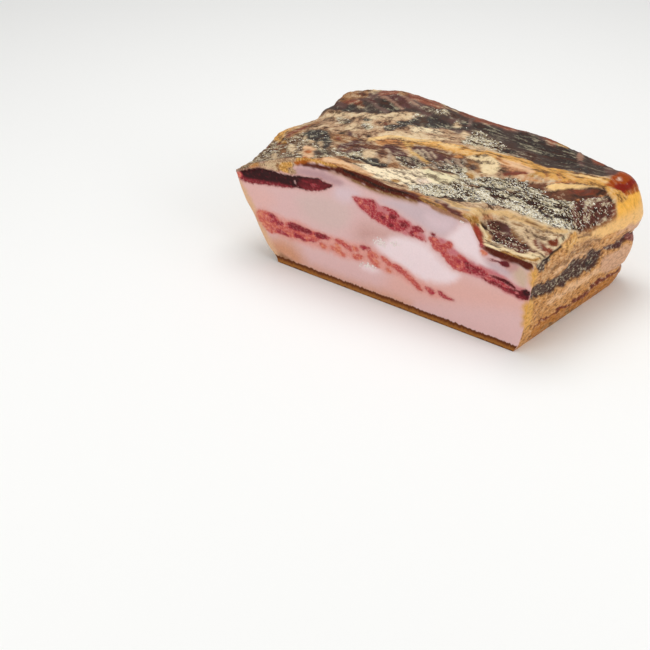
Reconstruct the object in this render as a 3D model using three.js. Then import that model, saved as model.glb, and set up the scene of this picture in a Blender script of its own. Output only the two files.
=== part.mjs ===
// Pancetta: one cut block of flat, dry-cured pork belly, about 160 mm along its fresh cut face.
// Fat and lean have grown together, so the block is one solid. The lean runs through it as bands.
// Millimetres. +X runs along the cut face to the right, +Y runs back from it, +Z is up.
import * as THREE from "three";
import { mergeVertices } from "three/addons/utils/BufferGeometryUtils.js";

// Main sizes. Distances along X start at the foot of the cut face on the left.
const TOP_LEFT = -24;
const TOP_RIGHT = 133;
const DEPTH = 89;
const BACK_CORNER_RADIUS = 11;
const BACK_EDGE_RADIUS = 8;
const LEFT_END_SKEW = 0.085;

// Stops of the smooth outlines: [place, value] pairs.
// The left end is a slanting cut: height to X.
const LEFT_END = [[0, 0.6], [2.3, -0.2], [6.6, -5], [12, -8.9], [19, -13], [26, -18.2], [37.6, -23.4],
  [48, -25], [60, -25.5]];
// The right flank is cured and bellies out a little: height to X.
const RIGHT_FLANK = [[0, 126.6], [3, 128.2], [8, 129.6], [13, 130.6], [19, 131.5], [25, 132.2], [30, 132.8],
  [36, 133.2], [48, 132.4]];
// The back is tucked in at its foot: height to Y.
const BACK_WALL = [[0, 84.8], [3, 86.5], [9, 88], [20, 89], [36, 89], [50, 88.2]];
// The top along the cut face and along the back: X to height.
const TOP_FRONT = [[-24, 38.4], [-15, 43.4], [-8, 46.3], [0, 49.4], [9, 52.6], [20, 55.4], [31, 56.1],
  [45, 55.8], [58, 54.8], [78, 53.2], [98, 51.6], [134, 50]];
const TOP_BACK = [[-29, 52.6], [-12, 56.6], [2, 58.6], [20, 58.6], [40, 57], [60, 55.2], [90, 53.2],
  [112, 51.2], [124, 49.2], [134, 46.8]];
// The radius of the shoulder between top and flank: Y to radius.
const SHOULDER = [[0, 1.5], [12, 2.5], [28, 8], [60, 11], [89, 9]];

// The corner of the top that was sliced away at the front right, down to a lower ledge.
const LEDGE_DROP = 8.4;
const LEDGE_LEFT_FROM = 101.5;
const LEDGE_LEFT_TO = 109;
const LEDGE_SKEW = 0.25;
const LEDGE_BACK_FROM = 9;
const LEDGE_BACK_TO = 27;

// The top rises and falls in steps at the left end: [Y, half width, height].
const END_STEPS = [[27, 20, 4.4], [56, 13, -2.4], [74, 10, 1.2]];
const END_STEPS_FROM = -20;
const END_STEPS_TO = 24;

// Dried muscle strands and the furrows between them, each along a line across the top:
// [X and Y of one end, X and Y of the other, half width, height].
const STRANDS = [
  [4, 76, 112, 74, 9, 1.4],
  [12, 62, 112, 65, 8, -1],
  [22, 30, 40, 36, 6, -1.1],
  [44, 45, 74, 46, 7, -1.2],
  [30, 42, 62, 57, 4.5, 1],
  [74, 52, 108, 50, 6, 1],
  [72, 24, 118, 34, 8, 0.9],
  [-16, 47, 20, 47, 6, -0.6],
  [112, 58, 128, 52, 7, -0.9],
  [26, 12, 92, 13, 6, -0.7],
];
// The round lump of fat at the back right corner of the top: X, Y, radius and height.
const KNOB = { x: 123, y: 77, radius: 10, height: 1.8 };

// The lean bands come out on the flank and the back as sunken strips: [height, half width, depth].
const SUNKEN_LEAN = [[25, 5, 1.2], [9.5, 2.6, 0.9]];
// The soft fat above the middle band bulges near the back right corner.
const BULGE = { y: 79, reach: 14, z: 34, half: 11, out: 2.6 };

// Cells of the surface grid, and the heights of its rows on the flank.
const CELLS_ALONG = 48;
const CELLS_DEEP = 28;
const ROW_HEIGHTS = [0, 3, 7, 10, 14, 19, 22.5, 26, 29.5, 33, 36.5, 39.5, 42];

const QUARTER = Math.PI / 2;

// A smooth line through the stops, level before the first one and after the last one.
function follow(stops, at) {
  const last = stops.length - 1;
  const place = THREE.MathUtils.clamp(at, stops[0][0], stops[last][0]);
  const slope = (i) => (stops[i + 1][1] - stops[i][1]) / (stops[i + 1][0] - stops[i][0]);
  const tangent = (i) => {
    if (i === 0) return slope(0);
    if (i === last) return slope(last - 1);
    return (slope(i - 1) + slope(i)) / 2;
  };
  let i = 0;
  while (i < last - 1 && place >= stops[i + 1][0]) i += 1;
  const span = stops[i + 1][0] - stops[i][0];
  const t = (place - stops[i][0]) / span;
  const u = 1 - t;
  const ends = stops[i][1] * (1 + 2 * t) * u * u + stops[i + 1][1] * t * t * (3 - 2 * t);
  return ends + span * t * u * (tangent(i) * u - tangent(i + 1) * t);
}

function smoothRise(from, to, at) {
  return THREE.MathUtils.smoothstep(at, from, to);
}

function smoothHump(middle, half, at) {
  return smoothRise(0, 1, 1 - Math.abs(at - middle) / half);
}

// How far the point (x, y) is from the line between two ends.
function distanceToLine(x, y, [x1, y1, x2, y2]) {
  const along = ((x - x1) * (x2 - x1) + (y - y1) * (y2 - y1)) / ((x2 - x1) ** 2 + (y2 - y1) ** 2);
  const t = THREE.MathUtils.clamp(along, 0, 1);
  return Math.hypot(x - x1 - t * (x2 - x1), y - y1 - t * (y2 - y1));
}

// The height of the top before its edges are rounded.
function topHeight(x, y) {
  const front = follow(TOP_FRONT, x);
  const back = follow(TOP_BACK, x);
  let z = front + (back - front) * smoothRise(0, 80, y);
  const nearLeftEnd = 1 - smoothRise(END_STEPS_FROM, END_STEPS_TO, x);
  for (const [middle, half, height] of END_STEPS) {
    z += nearLeftEnd * height * smoothHump(middle, half, y);
  }
  for (const strand of STRANDS) {
    const [half, height] = strand.slice(4);
    z += height * smoothHump(0, half, distanceToLine(x, y, strand));
  }
  z += KNOB.height * smoothHump(0, KNOB.radius, Math.hypot(x - KNOB.x, y - KNOB.y));
  const pastLedgeSide = smoothRise(LEDGE_LEFT_FROM, LEDGE_LEFT_TO, x + LEDGE_SKEW * y);
  const beforeLedgeBack = 1 - smoothRise(LEDGE_BACK_FROM, LEDGE_BACK_TO, y);
  return z - LEDGE_DROP * pastLedgeSide * beforeLedgeBack;
}

// How far the sunken lean pulls a cured wall in at a height.
function sunkenLean(z) {
  let depth = 0;
  for (const [middle, half, deep] of SUNKEN_LEAN) {
    depth += deep * smoothHump(middle, half, z);
  }
  return depth;
}

// The way along one side whose far end is a quarter round: the straight place reached, and how far
// the round has turned away from it.
function roundedRun(share, length, radius) {
  const straight = length - radius;
  const run = share * (straight + radius * QUARTER);
  const angle = Math.max(0, (run - straight) / radius);
  if (angle === 0) return { place: run, turned: 0 };
  return { place: straight + radius * Math.sin(angle), turned: radius * (1 - Math.cos(angle)) };
}

// A point of a unit box to its point on the block: shares along, back and up.
function blockPoint(along, back, up) {
  const deep = roundedRun(back, DEPTH, BACK_CORNER_RADIUS);
  const y = deep.place;
  const pastBackEdge = Math.max(0, (y - DEPTH + BACK_EDGE_RADIUS) / BACK_EDGE_RADIUS);
  const backDrop = BACK_EDGE_RADIUS * (1 - Math.sqrt(Math.max(0, 1 - pastBackEdge ** 2)));
  const wide = roundedRun(along, TOP_RIGHT - TOP_LEFT, follow(SHOULDER, y));
  const x = TOP_LEFT + wide.place;
  const z = up * (topHeight(x, y) - Math.hypot(backDrop, wide.turned));
  const bulge = BULGE.out * Math.exp(-(((y - BULGE.y) / BULGE.reach) ** 2)) * smoothHump(BULGE.z, BULGE.half, z);
  const left = follow(LEFT_END, z) + LEFT_END_SKEW * y;
  const cured = smoothRise(0, 8, y);
  const right = follow(RIGHT_FLANK, z) + bulge - cured * sunkenLean(z) - deep.turned;
  const across = wide.place / (TOP_RIGHT - TOP_LEFT);
  const rear = (follow(BACK_WALL, z) - sunkenLean(z)) / DEPTH;
  return new THREE.Vector3(left + across * (right - left), y * rear, z);
}

// The block's surface: a gridded box whose points are moved onto the block.
function slabGeometry() {
  const rows = ROW_HEIGHTS.length - 1;
  const box = new THREE.BoxGeometry(1, 1, 1, CELLS_ALONG, CELLS_DEEP, rows);
  box.deleteAttribute("normal");
  box.deleteAttribute("uv");
  const geometry = mergeVertices(box);
  const places = geometry.attributes.position;
  for (let i = 0; i < places.count; i += 1) {
    const row = Math.round((places.getZ(i) + 0.5) * rows);
    const up = ROW_HEIGHTS[row] / ROW_HEIGHTS[rows];
    const point = blockPoint(places.getX(i) + 0.5, places.getY(i) + 0.5, up);
    places.setXYZ(i, point.x, point.y, point.z);
  }
  geometry.computeBoundingBox();
  const middle = geometry.boundingBox.getCenter(new THREE.Vector3());
  geometry.translate(-middle.x, -middle.y, -geometry.boundingBox.min.z);
  geometry.computeVertexNormals();
  return geometry;
}

// The colour is the pale, rosy white of the fat, which takes up most of the block.
const curedFat = new THREE.MeshStandardMaterial({ color: "#e8cdc6", roughness: 0.5, metalness: 0 });

const slab = new THREE.Mesh(slabGeometry(), curedFat);
slab.name = "slab";

const pancetta = new THREE.Group();
pancetta.add(slab);

export default pancetta;
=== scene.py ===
import itertools
from math import cos, radians, sin

import bmesh
import bpy
import numpy as np
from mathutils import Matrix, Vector


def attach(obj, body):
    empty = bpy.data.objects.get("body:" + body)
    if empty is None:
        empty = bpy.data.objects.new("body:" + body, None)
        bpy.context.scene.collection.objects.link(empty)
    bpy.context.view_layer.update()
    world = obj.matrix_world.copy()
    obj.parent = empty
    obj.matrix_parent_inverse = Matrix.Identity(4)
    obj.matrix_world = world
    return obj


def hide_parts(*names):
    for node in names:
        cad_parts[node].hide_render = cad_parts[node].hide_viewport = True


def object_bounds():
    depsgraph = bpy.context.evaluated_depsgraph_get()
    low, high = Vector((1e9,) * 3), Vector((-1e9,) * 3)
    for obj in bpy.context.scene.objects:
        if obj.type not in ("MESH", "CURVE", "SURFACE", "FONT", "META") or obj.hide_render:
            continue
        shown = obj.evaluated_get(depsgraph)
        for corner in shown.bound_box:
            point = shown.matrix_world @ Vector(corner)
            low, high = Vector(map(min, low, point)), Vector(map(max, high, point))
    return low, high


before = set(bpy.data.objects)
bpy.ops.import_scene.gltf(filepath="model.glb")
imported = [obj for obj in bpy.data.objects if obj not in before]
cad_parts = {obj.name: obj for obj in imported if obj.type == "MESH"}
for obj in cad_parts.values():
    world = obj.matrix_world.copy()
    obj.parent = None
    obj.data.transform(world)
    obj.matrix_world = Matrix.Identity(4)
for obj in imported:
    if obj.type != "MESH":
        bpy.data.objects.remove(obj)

cad_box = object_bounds()
MM = 0.001

# Camera
# It looks down on the fresh cut face and the cured right flank, from the front right.
# The block stands to the right of the middle of the view and above it.
CAMERA_AIM = Vector((-1.8, -76, 0)) * MM
CAMERA_AWAY = 623 * MM
CAMERA_AZIMUTH = radians(39.8)
CAMERA_ELEVATION = radians(29)
PICTURE_SIDE = 650
# A long lens: its focal length in picture pixels.
FOCAL_LENGTH = 1500
LENS_TO_SENSOR = FOCAL_LENGTH / PICTURE_SIDE
SENSOR_WIDTH = 36
NEAREST_SHOWN = 10 * MM

scene = bpy.context.scene
camera = bpy.data.objects.new("camera", bpy.data.cameras.new("camera"))
scene.collection.objects.link(camera)
camera.data.sensor_width = SENSOR_WIDTH
camera.data.lens = LENS_TO_SENSOR * SENSOR_WIDTH
camera.data.clip_start = NEAREST_SHOWN
towards_camera = Vector((
    cos(CAMERA_ELEVATION) * sin(CAMERA_AZIMUTH),
    -cos(CAMERA_ELEVATION) * cos(CAMERA_AZIMUTH),
    sin(CAMERA_ELEVATION),
))
camera.location = CAMERA_AIM + towards_camera * CAMERA_AWAY
camera.rotation_euler = towards_camera.to_track_quat("Z", "Y").to_euler()
scene.camera = camera

# Light and floor
# Three broad soft lamps and a bright even surround, as in a light tent, over a plain pale floor.
# Each lamp: name, place in mm, the side of its square in mm, power in watts.
SOFT_LAMPS = [
    ("overhead_lamp", (-120, 120, 640), 450, 2.0),
    ("front_lamp", (-120, -640, 330), 500, 1.2),
    ("right_lamp", (640, -40, 300), 500, 1.4),
]
SURROUND_BRIGHTNESS = 0.46
FLOOR_SIZE = 4000 * MM
FLOOR_SHADE = "#fafaf8"


def linear(shade):
    """The linear RGBA of an sRGB hex colour."""
    parts = [int(shade[i:i + 2], 16) / 255 for i in (1, 3, 5)]
    return [p / 12.92 if p <= 0.04045 else ((p + 0.055) / 1.055) ** 2.4 for p in parts] + [1]


for lamp_name, place, side, power in SOFT_LAMPS:
    lamp = bpy.data.objects.new(lamp_name, bpy.data.lights.new(lamp_name, "AREA"))
    scene.collection.objects.link(lamp)
    lamp.data.size = side * MM
    lamp.data.energy = power
    lamp.location = Vector(place) * MM
    lamp.rotation_euler = lamp.location.to_track_quat("Z", "Y").to_euler()

world = bpy.data.worlds.new("soft_surround")
world.use_nodes = True
world.node_tree.nodes["Background"].inputs["Color"].default_value = (1, 1, 1, 1)
world.node_tree.nodes["Background"].inputs["Strength"].default_value = SURROUND_BRIGHTNESS
scene.world = world
scene.view_settings.view_transform = "Standard"

floor_bm = bmesh.new()
bmesh.ops.create_grid(floor_bm, x_segments=1, y_segments=1, size=FLOOR_SIZE / 2)
floor = bpy.data.objects.new("floor", bpy.data.meshes.new("floor"))
floor_bm.to_mesh(floor.data)
floor_bm.free()
scene.collection.objects.link(floor)
pale_floor = bpy.data.materials.new("pale_matt_card")
pale_floor.use_nodes = True
floor_shader = pale_floor.node_tree.nodes["Principled BSDF"]
floor_shader.inputs["Base Color"].default_value = linear(FLOOR_SHADE)
floor_shader.inputs["Roughness"].default_value = 0.9
floor.data.materials.append(pale_floor)

# Block of cured belly: its form
# A slab of belly, dry-cured with its rind on and cut square at the front. The front is the fresh cut.
# The left end is an older slanting cut. Flank, back and top are dried and cured, and the rind is below.
# Sizes in mm as on the solid. X starts at the foot of the cut face on the left. Stops are [place, value].
TOP_LEFT = -24
TOP_RIGHT = 133
DEPTH = 89
BACK_CORNER_RADIUS = 11
BACK_EDGE_RADIUS = 8
LEFT_END_SKEW = 0.085
LEFT_END = [[0, 0.6], [2.3, -0.2], [6.6, -5], [12, -8.9], [19, -13], [26, -18.2], [37.6, -23.4],
            [48, -25], [60, -25.5]]
RIGHT_FLANK = [[0, 126.6], [3, 128.2], [8, 129.6], [13, 130.6], [19, 131.5], [25, 132.2], [30, 132.8],
               [36, 133.2], [48, 132.4]]
BACK_WALL = [[0, 84.8], [3, 86.5], [9, 88], [20, 89], [36, 89], [50, 88.2]]
TOP_FRONT = [[-24, 38.4], [-15, 43.4], [-8, 46.3], [0, 49.4], [9, 52.6], [20, 55.4], [31, 56.1],
             [45, 55.8], [58, 54.8], [78, 53.2], [98, 51.6], [134, 50]]
TOP_BACK = [[-29, 52.6], [-12, 56.6], [2, 58.6], [20, 58.6], [40, 57], [60, 55.2], [90, 53.2],
            [112, 51.2], [124, 49.2], [134, 46.8]]
# The top passes from its front line to its back line over this Y.
FRONT_TO_BACK = (0, 80)
SHOULDER = [[0, 1.5], [12, 2.5], [28, 8], [60, 11], [89, 9]]
# The corner of the top that was sliced away at the front right, down to a lower ledge.
LEDGE_DROP = 8.4
LEDGE_LEFT = (101.5, 109)
LEDGE_BACK = (9, 27)
LEDGE_SKEW = 0.25
# Steps of the top near the left end: Y of the middle, half width, height.
END_STEPS = [(27, 20, 4.4), (56, 13, -2.4), (74, 10, 1.2)]
END_STEPS_PLACE = (-20, 24)
# Muscle strands and furrows of the top: X and Y of both ends, half width, height.
STRANDS = [
    (4, 76, 112, 74, 9, 1.4),
    (12, 62, 112, 65, 8, -1),
    (22, 30, 40, 36, 6, -1.1),
    (44, 45, 74, 46, 7, -1.2),
    (30, 42, 62, 57, 4.5, 1),
    (74, 52, 108, 50, 6, 1),
    (72, 24, 118, 34, 8, 0.9),
    (-16, 47, 20, 47, 6, -0.6),
    (112, 58, 128, 52, 7, -0.9),
    (26, 12, 92, 13, 6, -0.7),
]
# A round knob of dried fat at the back right.
KNOB_PLACE = (123, 77)
KNOB_RADIUS = 10
KNOB_HEIGHT = 1.8
# Sunken bands of lean on the flank and back: height, half width, depth. They begin behind the cut's edge.
SUNKEN_LEAN = [(25, 5, 1.2), (9.5, 2.6, 0.9)]
SINKING_BEGINS = (0, 8)
# The fat of the flank swells out at the back corner: Y and Z of the middle.
BULGE_PLACE = (79, 34)
BULGE_REACH = (14, 11)
BULGE_OUT = 2.6
# Cells of the fine surface: along, back and up.
CELLS = (262, 120, 84)


def follow(stops, at):
    """A smooth line through stops of (place, value), level beyond its ends."""
    places, values = np.array(stops, float).T
    slopes = np.diff(values) / np.diff(places)
    tangents = np.concatenate([slopes[:1], (slopes[:-1] + slopes[1:]) / 2, slopes[-1:]])
    at = np.clip(at, places[0], places[-1])
    i = np.clip(np.searchsorted(places, at, side="right") - 1, 0, len(places) - 2)
    span = places[i + 1] - places[i]
    t = (at - places[i]) / span
    u = 1 - t
    ends = values[i] * (1 + 2 * t) * u * u + values[i + 1] * t * t * (3 - 2 * t)
    return ends + span * t * u * (tangents[i] * u - tangents[i + 1] * t)


def rise(low, high, at):
    """0 below low, 1 above high, smooth between."""
    t = np.clip((at - low) / (high - low), 0, 1)
    return t * t * (3 - 2 * t)


def hump(middle, half, at):
    """1 at the middle, falling smoothly to 0 at the half width."""
    return rise(0, 1, 1 - np.abs(at - middle) / half)


def to_line(x, y, x1, y1, x2, y2):
    """The distance to the line between two ends."""
    length = (x2 - x1) ** 2 + (y2 - y1) ** 2
    t = np.clip(((x - x1) * (x2 - x1) + (y - y1) * (y2 - y1)) / length, 0, 1)
    return np.hypot(x - x1 - t * (x2 - x1), y - y1 - t * (y2 - y1))


def top_height(x, y):
    """The height of the top before its edges are rounded."""
    front = follow(TOP_FRONT, x)
    z = front + (follow(TOP_BACK, x) - front) * rise(*FRONT_TO_BACK, y)
    near_end = 1 - rise(*END_STEPS_PLACE, x)
    for middle, half, height in END_STEPS:
        z = z + near_end * height * hump(middle, half, y)
    for *ends, half, height in STRANDS:
        z = z + height * hump(0, half, to_line(x, y, *ends))
    z = z + KNOB_HEIGHT * hump(0, KNOB_RADIUS, np.hypot(x - KNOB_PLACE[0], y - KNOB_PLACE[1]))
    return z - LEDGE_DROP * rise(*LEDGE_LEFT, x + LEDGE_SKEW * y) * (1 - rise(*LEDGE_BACK, y))


def sunken_lean(z):
    """How deep the bands of lean have sunk into the flank and the back at a height."""
    return sum(deep * hump(middle, half, z) for middle, half, deep in SUNKEN_LEAN)


def rounded_run(share, length, radius):
    """Along a side that ends in a quarter round: the place reached, and how far the round turned away."""
    straight = length - radius
    run = share * (straight + radius * np.pi / 2)
    angle = np.maximum(0, (run - straight) / radius)
    reached = np.where(angle > 0, straight + radius * np.sin(angle), run)
    return reached, radius * (1 - np.cos(angle))


def block_points(along, back, up):
    """Points of a unit box to their places on the block."""
    y, corner_turn = rounded_run(back, DEPTH, BACK_CORNER_RADIUS)
    past_edge = np.maximum(0, (y - DEPTH + BACK_EDGE_RADIUS) / BACK_EDGE_RADIUS)
    back_drop = BACK_EDGE_RADIUS * (1 - np.sqrt(np.maximum(0, 1 - past_edge ** 2)))
    wide, side_drop = rounded_run(along, TOP_RIGHT - TOP_LEFT, follow(SHOULDER, y))
    z = up * (top_height(TOP_LEFT + wide, y) - np.hypot(back_drop, side_drop))
    bulge = BULGE_OUT * np.exp(-((y - BULGE_PLACE[0]) / BULGE_REACH[0]) ** 2)
    bulge = bulge * hump(BULGE_PLACE[1], BULGE_REACH[1], z)
    left = follow(LEFT_END, z) + LEFT_END_SKEW * y
    right = follow(RIGHT_FLANK, z) + bulge - rise(*SINKING_BEGINS, y) * sunken_lean(z) - corner_turn
    x = left + wide / (TOP_RIGHT - TOP_LEFT) * (right - left)
    return x, y * (follow(BACK_WALL, z) - sunken_lean(z)) / DEPTH, z


slab_bm = bmesh.new()
bmesh.ops.create_cube(slab_bm, size=1)
bmesh.ops.translate(slab_bm, verts=slab_bm.verts, vec=(0.5, 0.5, 0.5))
underside = [f for f in slab_bm.faces if f.normal.z < -0.5]
bmesh.ops.delete(slab_bm, geom=underside, context="FACES_ONLY")
for axis in (2, 0, 1):
    lines = [e for e in slab_bm.edges if abs(e.verts[0].co[axis] - e.verts[1].co[axis]) > 0.5]
    bmesh.ops.subdivide_edges(slab_bm, edges=lines, cuts=CELLS[axis] - 1)
foot = [e for e in slab_bm.edges if e.is_boundary]
bmesh.ops.contextual_create(slab_bm, geom=foot)
bmesh.ops.recalc_face_normals(slab_bm, faces=slab_bm.faces)
slab_mesh = bpy.data.meshes.new("slab_meat")
slab_bm.to_mesh(slab_mesh)
slab_bm.free()


def get_vectors(data, name):
    """One row of three numbers for each item of a mesh."""
    values = np.empty(len(data) * 3)
    data.foreach_get(name, values)
    return values.reshape(-1, 3)


box_points = get_vectors(slab_mesh.vertices, "co")
x, y, z = block_points(*box_points.T)
places = np.stack([x, y, z], axis=1)
# The block's middle comes onto the solid's.
cad_middle = np.array([(low + high) / 2 for low, high in zip(*cad_box)]) / MM
offset = cad_middle - (places.min(axis=0) + places.max(axis=0)) / 2
offset[2] = 0
# How near to a side of the unit box a point counts as on it.
EDGE = 1e-4
on_front = box_points[:, 1] < EDGE
on_left = box_points[:, 0] < EDGE
on_top = box_points[:, 2] > 1 - EDGE
slab_mesh.vertices.foreach_set("co", ((places + offset) * MM).ravel())
slab_mesh.update()
outward = get_vectors(slab_mesh.vertex_normals, "vector")
BACK_TURNED = (0.6, 0.85)
back_share = rise(*BACK_TURNED, outward[:, 1])

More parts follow.
